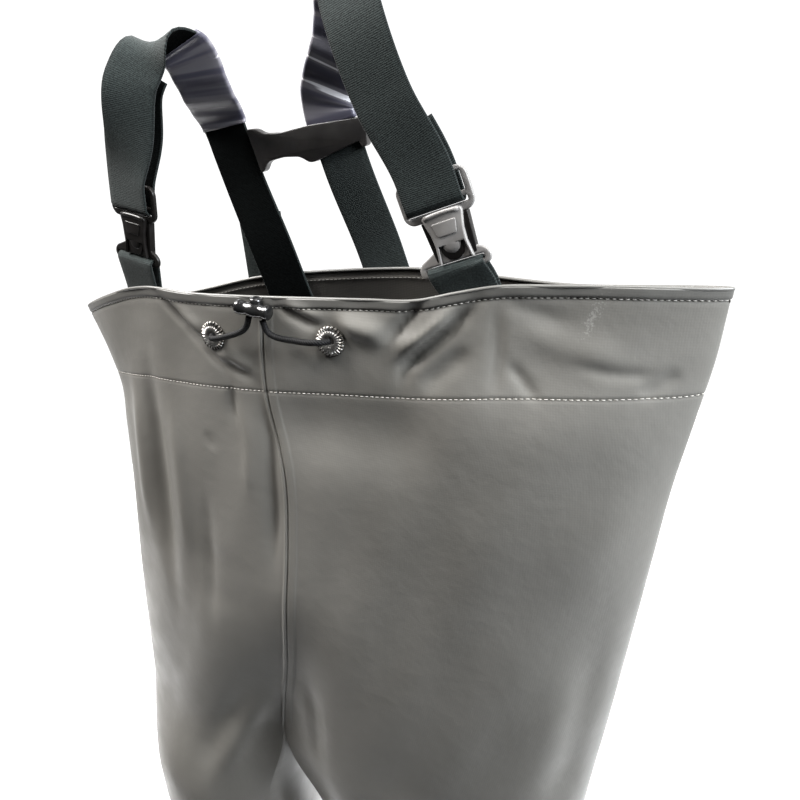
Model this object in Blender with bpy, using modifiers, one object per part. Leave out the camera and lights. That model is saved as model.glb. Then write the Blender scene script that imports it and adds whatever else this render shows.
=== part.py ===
"""Chest waders: a coated-cloth bib and legs on moulded boots, with elastic braces and a drawcord.

Metres, +Z up. The front faces -Y and the soles stand on z = 0. Left and right are the wearer's:
left is +X. The bib hangs slack, a little lower on its right side, as it is carried by its braces.
"""
import math
from collections import namedtuple

import bmesh
import bpy
import numpy as np
from mathutils import Matrix, Vector

# Driving dimensions
CLOTH = 0.0012            # coated cloth of bib and legs
BOOT_WALL = 0.0026        # moulded boot upper
GAP = 0.0003              # clearance where pieces meet
CROTCH_HEIGHT = 0.862
CROTCH_DIP = 0.040
LEG_BLEND = 0.14          # height over which a leg turns from half a bib to an oval
KNEE_SEAM = 0.600         # where the lower leg is joined to the thigh
LEG_CUFF = 0.298          # from here down the leg fits the boot shaft
LEG_END = 0.262           # lower edge of each leg, outside the boot shaft
LEG_SLIP = 0.0018         # room between a leg's end and the boot shaft
LEFT_DROOP = 0.55         # share of the corner's droop on the left side
BOOT_X = 0.135            # each boot's middle, left and right of x = 0
FOOT_SWAY = 0.010         # inward curve of the toe
ARCH_CUT = 0.007          # inner waist of the foot
TOE_LIFT = 0.012          # toe spring at the tip
SOLE_EDGE = 0.0035        # how far the sole stands out past the upper
INSOLE = 0.004
INSOLE_ROOM = 0.0014      # between the insole and the boot wall
GROOVE_WIDTH = 0.0055
GROOVE_DEPTH = 0.0050
CHEVRON = 0.012           # how far the tread grooves point forward at the middle
BAND_WIDTH = 0.046
BAND = 0.0022             # elastic brace
LOOP_WIDTH = 0.045
LOOP_LAYERS = (0.0110, 0.0062)   # middles of the loop's two legs inside the cloth
SEWN_OFF = 0.0027         # middle of a band outside the cloth it is sewn to
INSIDE_OFF = 0.0055       # and of a band inside it, from the cloth's outer face
FOLD = 0.0042             # middle radius where a band goes round a buckle bar
CORD = 0.0052
EYELET_OUTER = 0.0128
EYELET_HOLE = 0.0072
BIB_SIDES = 36
CROTCH_POINTS = 4
CROTCH_ARC = math.radians(36)   # half of the leg's round that faces the other leg

# Bib sections from the rim down: height at x = 0, places of corners and seam, and how far front and
# back bow out. Cleft is how far the seam is drawn in between the legs.
BibSection = namedtuple("BibSection", "height tilt droop right seam left side front back point cleft")
BIB = (
    BibSection(1.379, 0.150, 0.026, -0.305, -0.045, 0.303, 0.078, 0.058, 0.044, 1.45, 0.000),
    BibSection(1.358, 0.150, 0.024, -0.299, -0.046, 0.302, 0.078, 0.059, 0.046, 1.45, 0.000),
    BibSection(1.325, 0.146, 0.020, -0.287, -0.046, 0.300, 0.078, 0.061, 0.049, 1.40, 0.000),
    BibSection(1.283, 0.142, 0.012, -0.276, -0.043, 0.295, 0.078, 0.064, 0.054, 1.35, 0.000),
    BibSection(1.220, 0.112, 0.004, -0.277, -0.029, 0.288, 0.079, 0.070, 0.062, 1.25, 0.000),
    BibSection(1.145, 0.077, 0.000, -0.280, -0.028, 0.281, 0.080, 0.075, 0.070, 1.20, 0.000),
    BibSection(1.065, 0.046, 0.000, -0.284, -0.033, 0.275, 0.080, 0.080, 0.077, 1.15, 0.004),
    BibSection(0.990, 0.024, 0.000, -0.287, -0.043, 0.269, 0.080, 0.083, 0.081, 1.10, 0.012),
    BibSection(0.922, 0.009, 0.000, -0.289, -0.058, 0.263, 0.080, 0.083, 0.083, 1.05, 0.026),
    BibSection(CROTCH_HEIGHT, 0.000, 0.000, -0.290, -0.078, 0.258, 0.079, 0.080, 0.082, 1.00, 0.046),
)
CLEFT_WIDTH = 0.055

# How far the rim lies off its even line along x: up at the front loops, lower between them and behind
RimSpot = namedtuple("RimSpot", "x front back")
RIM = (
    RimSpot(-0.305, 0.0027, 0.0027),
    RimSpot(-0.240, 0.0085, -0.0022),
    RimSpot(-0.205, 0.0117, -0.0048),
    RimSpot(-0.180, 0.0116, -0.0038),
    RimSpot(-0.125, 0.0040, 0.0005),
    RimSpot(-0.068, 0.0003, 0.0004),
    RimSpot(0.000, -0.0028, -0.0008),
    RimSpot(0.050, -0.0052, -0.0002),
    RimSpot(0.090, -0.0068, -0.0030),
    RimSpot(0.120, -0.0018, -0.0052),
    RimSpot(0.146, 0.0019, -0.0072),
    RimSpot(0.190, 0.0018, -0.0092),
    RimSpot(0.240, 0.0006, -0.0070),
    RimSpot(0.303, -0.0022, -0.0022),
)

# Leg sections: middle, half width and half depth of each oval, down to the boot shaft
LegSection = namedtuple("LegSection", "height middle forward half_width half_depth")
LEGS = {
    "left": (
        LegSection(0.800, 0.100, 0.078, 0.152, 0.074),
        LegSection(0.720, 0.104, 0.077, 0.144, 0.076),
        LegSection(0.600, 0.113, 0.076, 0.126, 0.080),
        LegSection(0.480, 0.124, 0.077, 0.107, 0.084),
        LegSection(0.370, 0.132, 0.079, 0.087, 0.086),
    ),
    "right": (
        LegSection(0.800, -0.185, 0.079, 0.108, 0.088),
        LegSection(0.720, -0.184, 0.078, 0.106, 0.089),
        LegSection(0.600, -0.174, 0.077, 0.104, 0.089),
        LegSection(0.480, -0.158, 0.078, 0.097, 0.087),
        LegSection(0.370, -0.143, 0.079, 0.086, 0.086),
    ),
}
THIGH_RINGS = (0.832, 0.795, 0.745, 0.680, KNEE_SEAM + GAP / 2)
SHIN_RINGS = (KNEE_SEAM - GAP / 2, 0.490, 0.390, 0.330, LEG_CUFF, LEG_END)

# Boot sections from the feather edge up: ends of the outline, half widths along it, and how full its
# ends are. A fullness of 2 is an ellipse, and a larger one has blunter ends.
BootSection = namedtuple(
    "BootSection", "height spring heel toe heel_half waist_half ball_half tip_half full curve")
BOOT = (
    BootSection(0.0253, 1.00, 0.1450, -0.1460, 0.0345, 0.0350, 0.0490, 0.0400, 3.60, 1.00),
    BootSection(0.0400, 0.90, 0.1480, -0.1490, 0.0365, 0.0375, 0.0510, 0.0430, 3.60, 1.00),
    BootSection(0.0540, 0.75, 0.1495, -0.1460, 0.0375, 0.0385, 0.0505, 0.0420, 3.50, 0.95),
    BootSection(0.0660, 0.50, 0.1495, -0.1320, 0.0380, 0.0390, 0.0480, 0.0390, 3.30, 0.85),
    BootSection(0.0770, 0.25, 0.1490, -0.1080, 0.0380, 0.0400, 0.0460, 0.0380, 3.00, 0.70),
    BootSection(0.0900, 0.10, 0.1480, -0.0800, 0.0385, 0.0410, 0.0445, 0.0380, 2.70, 0.50),
    BootSection(0.1060, 0.00, 0.1465, -0.0530, 0.0395, 0.0430, 0.0440, 0.0390, 2.45, 0.30),
    BootSection(0.1260, 0.00, 0.1455, -0.0300, 0.0410, 0.0455, 0.0455, 0.0420, 2.25, 0.12),
    BootSection(0.1520, 0.00, 0.1460, -0.0140, 0.0440, 0.0490, 0.0490, 0.0460, 2.10, 0.00),
    BootSection(0.1900, 0.00, 0.1480, -0.0050, 0.0500, 0.0540, 0.0540, 0.0520, 2.00, 0.00),
    BootSection(0.2400, 0.00, 0.1510, -0.0010, 0.0590, 0.0600, 0.0600, 0.0590, 2.00, 0.00),
    BootSection(0.3000, 0.00, 0.1540, 0.0010, 0.0640, 0.0640, 0.0640, 0.0640, 2.00, 0.00),
)
HALF_WIDTH_STATIONS = (0.0, 0.15, 0.42, 0.70, 0.92, 1.0)
STATIONS = (0.0, 0.012, 0.045, 0.095, 0.16, 0.225, 0.270, 0.300, 0.45, 0.52, 0.60,
            0.68, 0.76, 0.83, 0.89, 0.94, 0.98, 1.0)
ANKLE_ROW = 8             # section where the foot of the boot meets its shaft

# Sole: its upper face and its underside along the foot, and the steps of its side from the bottom up
SoleProfile = namedtuple("SoleProfile", "station top bottom")
SOLE_PROFILE = (
    SoleProfile(0.00, 0.0250, 0.0030),
    SoleProfile(0.06, 0.0250, 0.0000),
    SoleProfile(0.27, 0.0250, 0.0000),
    SoleProfile(0.30, 0.0248, 0.0095),
    SoleProfile(0.45, 0.0225, 0.0080),
    SoleProfile(0.52, 0.0210, 0.0000),
    SoleProfile(0.76, 0.0200, 0.0000),
    SoleProfile(0.89, 0.0205, 0.0030),
    SoleProfile(1.00, 0.0250, 0.0115),
)
SideStep = namedtuple("SideStep", "share out")
SOLE_SIDE = (
    SideStep(0.00, -0.0040),
    SideStep(0.14, -0.0005),
    SideStep(0.46, 0.0000),
    SideStep(0.52, -0.0016),
    SideStep(0.66, -0.0016),
    SideStep(0.72, 0.0005),
    SideStep(1.00, 0.0000),
)
HEEL_GROOVES = (0.127, 0.107, 0.087)
TOE_GROOVES = (-0.008, -0.030, -0.052, -0.074, -0.096, -0.118)

# Braces: where each buckle sits, and the way over the shoulder to the back of the bib.
# Lean tips a band sideways and swing turns its face about the vertical, in degrees.
Stop = namedtuple("Stop", "x y z lean swing")
BUCKLES = {
    "left": Stop(0.1066, 0.0370, 1.4365, 22.0, 2.0),
    "right": Stop(-0.1880, 0.0385, 1.4090, -4.0, -9.0),
}
SHOULDERS = {
    "left": (
        Stop(0.0617, 0.0290, 1.5245, 22.0, 0.0),
        Stop(0.0350, 0.0340, 1.5830, 20.0, 0.0),
        Stop(0.0180, 0.0530, 1.6140, 14.0, 0.0),
        Stop(0.0080, 0.0760, 1.6060, 10.0, 0.0),
        Stop(-0.0080, 0.1000, 1.5600, 12.0, 0.0),
    ),
    "right": (
        Stop(-0.1740, 0.0320, 1.4875, -3.0, 8.0),
        Stop(-0.1640, 0.0350, 1.5340, 5.0, 18.0),
        Stop(-0.1500, 0.0530, 1.5590, 19.0, 22.0),
        Stop(-0.1450, 0.0760, 1.5540, 18.0, 18.0),
        Stop(-0.1430, 0.0990, 1.5200, 13.0, 8.0),
    ),
}
Return = namedtuple("Return", "length spread")
RETURNS = {"left": Return(0.055, 0.0), "right": Return(0.120, 0.006)}   # band that comes back up behind
TAIL_DROP = 0.062         # brace sewn to the back of the bib below the rim
YOKE_MIDDLE = Vector((-0.0820, 0.1220, 1.4765))
YOKE_TILT = 8.0
YOKE_SPACING = 0.1110     # between the middles of the two braces
YOKE_DEPTH = 0.0080
YOKE_OUTLINE = (          # in the yoke's own x and z, round from the right brace's outer edge
    (-0.077, -0.0130), (-0.032, -0.0150), (-0.0285, -0.0215), (-0.0225, -0.0205), (-0.0170, -0.0125),
    (0.000, -0.0100), (0.017, -0.0110), (0.026, -0.0165), (0.031, -0.0165), (0.078, -0.0030),
    (0.079, -0.0085), (0.085, -0.0075), (0.086, 0.0130), (0.080, 0.0155), (0.030, 0.0140),
    (0.000, 0.0105), (-0.017, 0.0115), (-0.024, 0.0160), (-0.032, 0.0165), (-0.077, 0.0130),
)
# Where each brace crosses the back rim; the tab is the outer layer sewn behind the right one
Tail = namedtuple("Tail", "x lean off")
TAILS = {"left": Tail(0.0140, 20.0, SEWN_OFF), "right": Tail(-0.0915, 20.0, -INSIDE_OFF)}
TAIL_DROPS = (-0.010, 0.008, 0.026, 0.044, TAIL_DROP)
TabStop = namedtuple("TabStop", "x drop off")
OUTER_TAB = (
    TabStop(-0.1165, -0.052, 0.0046),
    TabStop(-0.1135, -0.030, 0.0036),
    TabStop(-0.1110, -0.008, SEWN_OFF),
    TabStop(-0.1080, 0.030, SEWN_OFF),
    TabStop(-0.1060, TAIL_DROP, SEWN_OFF),
)
TAB_LEAN = 13.0

# Buckle outlines in the buckle's own frame: x across, z up
FRAME_LEFT = -0.0268      # sides of the upper frame, a little off the middle of the brace
FRAME_RIGHT = 0.0302
FRAME_TOP = 0.0415
FRAME_LOW = 0.0100
LEFT_BAR = 0.0034
RIGHT_BAR = 0.0048
WRAP_BAR = 0.0216         # middle of the bar that the brace goes round
LOOP_BAR = -0.0280        # middle of the bar that the loop goes round
BAR = 0.0040
FOLD_ROOM = 0.0003        # between a band's fold and the edge of its window
PLUG_X = 0.0035            # middle of the plug, off the middle of the brace
PLUG_TOP = 0.0145
PLUG_END = -0.0100
PLUG_HALVES = (0.0125, 0.0160)   # half its width at its end and at its top
FRAME_DEPTH = 0.0036
PLUG_DEPTH = 0.0100

# Drawcord casing: eyelets beside the seam, lock at the rim
EYELETS = {"left": (0.0180, 1.3440), "right": (-0.0990, 1.3300)}
LOCK_MIDDLE = Vector((-0.0475, 0.0100, 1.3635))
LOCK_LENGTH = 0.032
LOCK_RADIUS = 0.0060
LOCK_TILT = -3.0
CORD_ROOM = 0.0011        # between the lock and each cord's end
LOCK_MOUTHS = {"left": 0.0085, "right": -0.0045}   # where the cords come out of the lock's underside

SIDES = {"left": 1, "right": -1}
COLOURS = {
    "cloth": ((0.190, 0.180, 0.158), 0.48, 0.0),
    "boot": ((0.060, 0.068, 0.055), 0.50, 0.0),
    "sole": ((0.030, 0.031, 0.030), 0.65, 0.0),
    "insole": ((0.120, 0.115, 0.105), 0.90, 0.0),
    "webbing": ((0.018, 0.026, 0.025), 0.85, 0.0),
    "plastic": ((0.070, 0.065, 0.062), 0.42, 0.0),
    "yoke": ((0.022, 0.019, 0.018), 0.50, 0.0),
    "metal": ((0.420, 0.410, 0.400), 0.35, 1.0),
    "cord": ((0.012, 0.012, 0.012), 0.70, 0.0),
}


def start_scene():
    """Empty the scene and make the collections for the parts and for the cutters."""
    for old in list(bpy.data.objects):
        bpy.data.objects.remove(old, do_unlink=True)
    made = []
    for name in ("chest_waders", "cutters"):
        collection = bpy.data.collections.new(name)
        bpy.context.scene.collection.children.link(collection)
        made.append(collection)
    return made


def material(name):
    """The named finish as a Principled material, made once."""
    found = bpy.data.materials.get(name)
    if found:
        return found
    colour, roughness, metallic = COLOURS[name]
    made = bpy.data.materials.new(name)
    made.use_nodes = True
    shader = made.node_tree.nodes["Principled BSDF"]
    shader.inputs["Base Color"].default_value = (*colour, 1.0)
    shader.inputs["Roughness"].default_value = roughness
    shader.inputs["Metallic"].default_value = metallic
    return made


def smooth(places, values, place):
    """A value read from a smooth curve through the table's values."""
    slopes = np.gradient(values, places)
    k = int(np.clip(np.searchsorted(places, place) - 1, 0, len(places) - 2))
    span = places[k + 1] - places[k]
    t = min(max((place - places[k]) / span, 0.0), 1.0)
    rise = (1 + 2 * t) * (1 - t) ** 2 * values[k] + t * t * (3 - 2 * t) * values[k + 1]
    return rise + span * t * (1 - t) * ((1 - t) * slopes[k] - t * slopes[k + 1])


def section_at(rows, height):
    """The table's section at a height, each column read from its own smooth curve."""
    ordered = sorted(rows, key=lambda row: row.height)
    heights = [row.height for row in ordered]
    columns = zip(*ordered)
    return type(rows[0])(*[smooth(heights, list(column), height) for column in columns])


def add_object(name, mesh, finish, collection, smooth_angle=35.0):
    """Put a mesh in the scene as a named part with its finish."""
    made = bpy.data.objects.new(name, mesh)
    collection.objects.link(made)
    mesh.materials.append(material(finish))
    mesh.shade_smooth()
    mesh.set_sharp_from_angle(angle=math.radians(smooth_angle))
    return made


def solidify(piece, thickness, offset):
    """Give an open surface its wall."""
    wall = piece.modifiers.new("wall", "SOLIDIFY")
    wall.thickness = thickness
    wall.offset = offset
    wall.use_even_offset = False


def add_boolean(piece, tool, operation, cutters):
    """Cut a piece by a tool, or join the tool to it, and keep the tool as a wire guide."""
    for owner in list(tool.users_collection):
        owner.objects.unlink(tool)
    cutters.objects.link(tool)
    tool.hide_render = True
    tool.display_type = "WIRE"
    step = piece.modifiers.new(operation.lower(), "BOOLEAN")
    step.operation = operation
    step.object = tool


def skin(bm, lower, upper, flip, closed=True):
    """Quads between two rows of vertices that run the same way, round a ring or along an open row."""
    count = len(lower)
    for k in range(count if closed else count - 1):
        corners = [lower[k], lower[(k + 1) % count], upper[(k + 1) % count], upper[k]]
        bm.faces.new(corners[::-1] if flip else corners)


# Bib and legs
def bib_point(row, turn):
    """A point of a bib section: turn 0 is the front seam, a quarter turn the left corner."""
    across = math.sin(turn)
    ahead = math.cos(turn)
    reach = row.left - row.seam if across > 0 else row.seam - row.right
    x = row.seam + reach * across
    bow = row.front if ahead > 0 else row.back
    y = row.side - math.copysign(bow * abs(ahead) ** row.point, ahead)
    y += math.copysign(row.cleft * math.exp(-((x - row.seam) / CLEFT_WIDTH) ** 2), ahead)
    aside = abs(x) / ((row.left - row.right) / 2)
    droop = row.droop * (1 + LEFT_DROOP - (1 - LEFT_DROOP) * across) / 2
    sag = droop * aside ** 3 if ahead > 0 else droop * (0.2 + 0.8 * aside ** 1.3)
    lifts = [spot.front if ahead > 0 else spot.back for spot in RIM]
    lift = smooth([spot.x for spot in RIM], lifts, x)
    z = row.height + row.tilt * x - sag + lift * (row.droop / BIB[0].droop) ** 2
    return Vector((x, y, z))


def bib_wall(x, z, front):
    """Outside of the bib's cloth at a place seen from the front, with its outward direction."""
    height = z
    for _ in range(4):
        row = section_at(BIB, height)
        reach = row.left - row.seam if x > row.seam else row.seam - row.right
        turn = math.asin((x - row.seam) / reach)
        turn = turn if front else math.pi - turn
        here = bib_point(row, turn)
        height += z - here.z
    step = 0.02
    along = bib_point(row, turn + step) - bib_point(row, turn - step)
    down = bib_point(section_at(BIB, row.height - 0.01), turn) - here
    return here, along.cross(-down).normalized()


def leg_point(row, side, turn):
    """A point of a leg's oval: turn 0 faces the other leg, a quarter turn faces forward."""
    x = row.middle - side * row.half_width * math.cos(turn)
    return Vector((x, row.forward - row.half_depth * math.sin(turn), row.height))


def leg_turns():
    """Turns of a leg ring's points: the outer round from front to back, then the inner round."""
    outer_steps = BIB_SIDES // 2
    outer = [CROTCH_ARC + (2 * math.pi - 2 * CROTCH_ARC) * k / outer_steps for k in range(outer_steps + 1)]
    inner_steps = CROTCH_POINTS + 1
    inner = [2 * math.pi - CROTCH_ARC + 2 * CROTCH_ARC * k / inner_steps for k in range(1, inner_steps)]
    return outer + inner


def leg_rows(name):
    """A leg's table, ended by the rings that slip over the boot shaft."""
    rows = list(LEGS[name])
    over = CLOTH + LEG_SLIP
    for height in (LEG_CUFF, LEG_END):
        shaft = section_at(BOOT, height)
        middle = SIDES[name] * BOOT_X
        half_depth = (shaft.heel - shaft.toe) / 2 + over
        forward = (shaft.heel + shaft.toe) / 2
        rows.append(LegSection(height, middle, forward, shaft.waist_half + over, half_depth))
    return rows


def half_row(row, side):
    """One half of a bib section, from the front seam to the back seam, with the seam's gap."""
    half = BIB_SIDES // 2
    points = [bib_point(row, side * math.pi * k / half) for k in range(half + 1)]
    for end in (points[0], points[-1]):
        end.x += side * GAP / 2
    return points


def crotch_row(front, back):
    """Points between the legs, from the back seam to the front seam."""
    points = []
    for k in range(CROTCH_POINTS):
        share = (k + 1) / (CROTCH_POINTS + 1)
        place = back.lerp(front, share)
        place.z -= CROTCH_DIP * math.sin(math.pi * share)
        points.append(place)
    return points


def leg_ring(name, side, height):
    """Points of a leg at a height, turning from half a bib with its crotch into an oval."""
    edge = half_row(BIB[-1], side)
    start = edge + crotch_row(edge[0], edge[-1])
    row = section_at(leg_rows(name), height)
    share = min((CROTCH_HEIGHT - height) / LEG_BLEND, 1.0)
    share = share * share * (3 - 2 * share)
    ring = []
    for origin, turn in zip(start, leg_turns()):
        shifted = Vector((origin.x, origin.y, origin.z - CROTCH_HEIGHT + height))
        ring.append(shifted.lerp(leg_point(row, side, turn), share))
    return ring


def make_body_half(name, side, parts, cutters):
    """One half of the bib with its thigh as a cloth wall, joined to the other half along the seams."""
    bm = bmesh.new()
    rows = [[bm.verts.new(point) for point in half_row(row, side)] for row in BIB]
    for upper, lower in zip(rows, rows[1:]):
        skin(bm, lower, upper, side < 0, closed=False)
    last = rows[-1]
    ring = last + [bm.verts.new(point) for point in crotch_row(last[0].co, last[-1].co)]
    for height in THIGH_RINGS:
        lower = [bm.verts.new(point) for point in leg_ring(name, side, height)]
        skin(bm, lower, ring, side < 0)
        ring = lower
    mesh = bpy.data.meshes.new("body_" + name)
    bm.to_mesh(mesh)
    bm.free()
    body = add_object("body_" + name, mesh, "cloth", parts, 60.0)
    solidify(body, CLOTH, -1.0)
    place, outward = bib_wall(*EYELETS[name], True)
    bpy.ops.mesh.primitive_cylinder_add(vertices=20, radius=EYELET_HOLE + 0.0006, depth=0.02)
    tool = bpy.context.object
    tool.name = "eyelet_hole_" + name
    tool.location = place
    tool.rotation_euler = outward.to_track_quat("Z", "Y").to_euler()
    add_boolean(body, tool, "DIFFERENCE", cutters)


def make_leg(name, side, parts):
    """Lower leg as a cloth tube, from the knee seam down over the boot shaft."""
    bm = bmesh.new()
    rings = [[bm.verts.new(point) for point in leg_ring(name, side, height)] for height in SHIN_RINGS]
    for upper, lower in zip(rings, rings[1:]):
        skin(bm, lower, upper, side < 0)
    mesh = bpy.data.meshes.new("leg_" + name)
    bm.to_mesh(mesh)
    bm.free()
    solidify(add_object("leg_" + name, mesh, "cloth", parts, 60.0), CLOTH, -1.0)


# Boots
def foot_outline(row, grow):
    """Outline of a boot section from heel to toe on its outer side and back on its inner side.

    Each point is (outward x, y, station), and grow widens the outline all round.
    """
    heel, toe = row.heel + grow, row.toe - grow
    halves = (row.heel_half, row.heel_half, row.waist_half, row.ball_half, row.tip_half, row.tip_half * 0.94)
    outline = []
    last = len(STATIONS) - 1
    for k in list(range(last + 1)) + list(range(last - 1, 0, -1)):
        outer = len(outline) <= last
        station = STATIONS[k]
        half = smooth(HALF_WIDTH_STATIONS, halves, station) + grow
        if not outer:
            half -= ARCH_CUT * row.curve * math.exp(-((station - 0.40) / 0.16) ** 2)
        half *= (1 - abs(2 * station - 1) ** row.full) ** (1 / row.full)
        bend = max(0.0, (station - 0.40) / 0.60) ** 2
        x = (half if outer else -half) - FOOT_SWAY * row.curve * bend
        outline.append((x, heel + (toe - heel) * station, station))
    return outline


def toe_lift(station):
    """Rise of the foot towards the toe's tip."""
    return TOE_LIFT * max(0.0, (station - 0.72) / 0.28) ** 2


def sole_face(station, column):
    """Height of the sole's top or underside at a station along the foot."""
    places = [row.station for row in SOLE_PROFILE]
    return float(np.interp(station, places, [getattr(row, column) for row in SOLE_PROFILE]))


def make_boot(name, side, rows, parts):
    """Moulded wall of a boot through some of its sections, open at the top and underneath."""
    bm = bmesh.new()
    rings = []
    for row in rows:
        ring = []
        for x, y, station in foot_outline(row, 0.0):
            z = row.height + row.spring * toe_lift(station)
            if row is BOOT[0]:
                z = sole_face(station, "top") + GAP
            elif row.spring > 0:
                z += row.spring * (sole_face(station, "top") - sole_face(0.0, "top")) * 0.5
            ring.append(bm.verts.new((side * (BOOT_X + x), y, z)))
        rings.append(ring)
    for lower, upper in zip(rings, rings[1:]):
        skin(bm, lower, upper, side > 0)
    mesh = bpy.data.meshes.new(name)
    bm.to_mesh(mesh)
    bm.free()
    solidify(add_object(name, mesh, "boot", parts, 60.0), BOOT_WALL, -1.0)


def make_boots(name, side, parts):
    """Foot of the boot, and the shaft joined on at the ankle."""
    ankle = BOOT[ANKLE_ROW]
    below = ankle._replace(height=ankle.height - GAP / 2)
    above = ankle._replace(height=ankle.height + GAP / 2)
    make_boot("boot_" + name, side, (*BOOT[:ANKLE_ROW], below), parts)
    make_boot("boot_shaft_" + name, side, (above, *BOOT[ANKLE_ROW + 1:]), parts)


def foot_slab(name, side, levels, finish, parts):
    """A closed slab from stacked foot outlines, its two faces ruled across the foot."""
    bm = bmesh.new()
    rings = [[bm.verts.new((side * (BOOT_X + x), y, z)) for x, y, z in level] for level in levels]
    for lower, upper in zip(rings, rings[1:]):
        skin(bm, lower, upper, side > 0)
    last = len(STATIONS) - 1
    for ring, facing_up in ((rings[0], False), (rings[-1], True)):
        for k in range(last):
            there = [ring[k], ring[k + 1], ring[-k - 1], ring[-k]]
            corners = list(dict.fromkeys(there))
            bm.faces.new(corners[::-1] if facing_up == (side > 0) else corners)
    mesh = bpy.data.meshes.new(name)
    bm.to_mesh(mesh)
    bm.free()
    return add_object(name, mesh, finish, parts, 30.0)


def groove_tools(bm, side):
    """Prisms for the tread: straight grooves under the heel, chevrons under the forefoot."""
    reach = 0.075
    for y in HEEL_GROOVES + TOE_GROOVES:
        point = CHEVRON if y in TOE_GROOVES else 0.0
        station = (BOOT[0].heel - y) / (BOOT[0].heel - BOOT[0].toe)
        roof = sole_face(station, "bottom") + GROOVE_DEPTH
        half = GROOVE_WIDTH / 2
        plan = [(-reach, y + point + half), (0, y + half), (reach, y + point + half),
                (reach, y + point - half), (0, y - half), (-reach, y + point - half)]
        floor_ring = [bm.verts.new((side * BOOT_X + x, py, -0.01)) for x, py in plan]
        roof_ring = [bm.verts.new((side * BOOT_X + x, py, roof)) for x, py in plan]
        skin(bm, floor_ring, roof_ring, False)
        bm.faces.new(floor_ring)
        bm.faces.new(roof_ring)
    bmesh.ops.recalc_face_normals(bm, faces=bm.faces)


def make_soles(name, side, parts, cutters):
    """Cleated outsole with a stepped side, and the loose insole that lies on it."""
    base = BOOT[0]
    levels = []
    for step in SOLE_SIDE:
        level = []
        for x, y, station in foot_outline(base, SOLE_EDGE + step.out):
            top, bottom = sole_face(station, "top"), sole_face(station, "bottom")
            level.append((x, y, bottom + (top - bottom) * step.share))
        levels.append(level)
    sole = foot_slab("outsole_" + name, side, levels, "sole", parts)
    bm = bmesh.new()
    groove_tools(bm, side)
    mesh = bpy.data.meshes.new("grooves_" + name)
    bm.to_mesh(mesh)
    bm.free()
    add_boolean(sole, bpy.data.objects.new("grooves_" + name, mesh), "DIFFERENCE", cutters)
    inset = -(BOOT_WALL + INSOLE_ROOM)
    levels = []
    for lift in (GAP, GAP + INSOLE):
        level = []
        for x, y, station in foot_outline(base, inset):
            level.append((x, y, sole_face(station, "top") + lift))
        levels.append(level)
    foot_slab("insole_" + name, side, levels, "insole", parts)


# Braces and buckles
def buckle_frame(name):
    """The buckle's own frame in the world: x across, y back, z up the brace."""
    buckle = BUCKLES[name]
    turn = Matrix.Rotation(math.radians(buckle.swing), 4, "Z")
    turn = turn @ Matrix.Rotation(-math.radians(buckle.lean), 4, "Y")
    return Matrix.Translation((buckle.x, buckle.y, buckle.z)) @ turn


def yoke_frame():
    """The yoke's own frame in the world: x along it, z up through its slots."""
    return Matrix.Translation(YOKE_MIDDLE) @ Matrix.Rotation(-math.radians(YOKE_TILT), 4, "Y")


def spline(stops, spacing):
    """Points along a smooth curve through the stops, with the lean and swing of each."""
    data = np.array(stops, dtype=float)
    steps = np.linalg.norm(np.diff(data[:, :3], axis=0), axis=1)
    places = np.concatenate([[0.0], np.cumsum(steps)])
    count = max(2, int(round(places[-1] / spacing)))
    marks = np.linspace(0.0, places[-1], count + 1)
    return [[smooth(places, column, mark) for column in data.T] for mark in marks]


def fold_points(bar, below):
    """A band's half turn round a buckle bar, from its back face to its front face."""
    points = []
    for k in range(9):
        turn = math.pi * k / 8
        rise = FOLD * math.sin(turn)
        points.append((0.0, FOLD * math.cos(turn), bar - rise if below else bar + rise))
    return points


def buckle_stops(name, points):
    """Points given in a buckle's own frame, as stops in the world with the buckle's turn."""
    frame = buckle_frame(name)
    buckle = BUCKLES[name]
    return [Stop(*(frame @ Vector(point)), buckle.lean, buckle.swing) for point in points]


def band_turn(stops, k):
    """Direction along a band and direction across it at one of its stops."""
    ahead = Vector(stops[min(k + 1, len(stops) - 1)][:3]) - Vector(stops[max(k - 1, 0)][:3])
    ahead.normalize()
    lean, swing = math.radians(stops[k][3]), math.radians(stops[k][4])
    across = Vector((math.cos(lean) * math.cos(swing), math.cos(lean) * math.sin(swing), math.sin(lean)))
    return ahead, (across - ahead * across.dot(ahead)).normalized()


def band(name, stops, width, parts):
    """A flat band along a way of stops, as an open strip with its thickness."""
    bm = bmesh.new()
    previous = None
    for k, stop in enumerate(stops):
        across = band_turn(stops, k)[1] * width / 2
        middle = Vector(stop[:3])
        edge = [bm.verts.new(middle - across), bm.verts.new(middle + across)]
        if previous:
            bm.faces.new((previous[0], previous[1], edge[1], edge[0]))
        previous = edge
    mesh = bpy.data.meshes.new(name)
    bm.to_mesh(mesh)
    bm.free()
    solidify(add_object(name, mesh, "webbing", parts), BAND, 0.0)


def return_layer(stops, layer):
    """The layer that comes back up behind the start of a band, listed from its top down."""
    behind = []
    travelled = 0.0
    for k in range(1, len(stops)):
        travelled += (Vector(stops[k][:3]) - Vector(stops[k - 1][:3])).length
        if travelled > layer.length:
            break
        ahead, across = band_turn(stops, k)
        off = 2 * FOLD + layer.spread * math.sin(math.pi * travelled / layer.length)
        place = Vector(stops[k][:3]) + ahead.cross(across) * off
        behind.append(Stop(*place, *stops[k][3:]))
    return behind[::-1]


def back_stop(x, drop, off, lean):
    """A stop beside the back of the bib: drop below the rim, off outside its cloth."""
    rim = BIB[0]
    height = rim.height + rim.tilt * x - drop
    place, outward = bib_wall(x, min(height, rim.height + rim.tilt * x - rim.droop), False)
    place = place + outward * off
    return Stop(x, place.y, height, lean, math.degrees(math.atan2(-outward.x, outward.y)))


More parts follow.
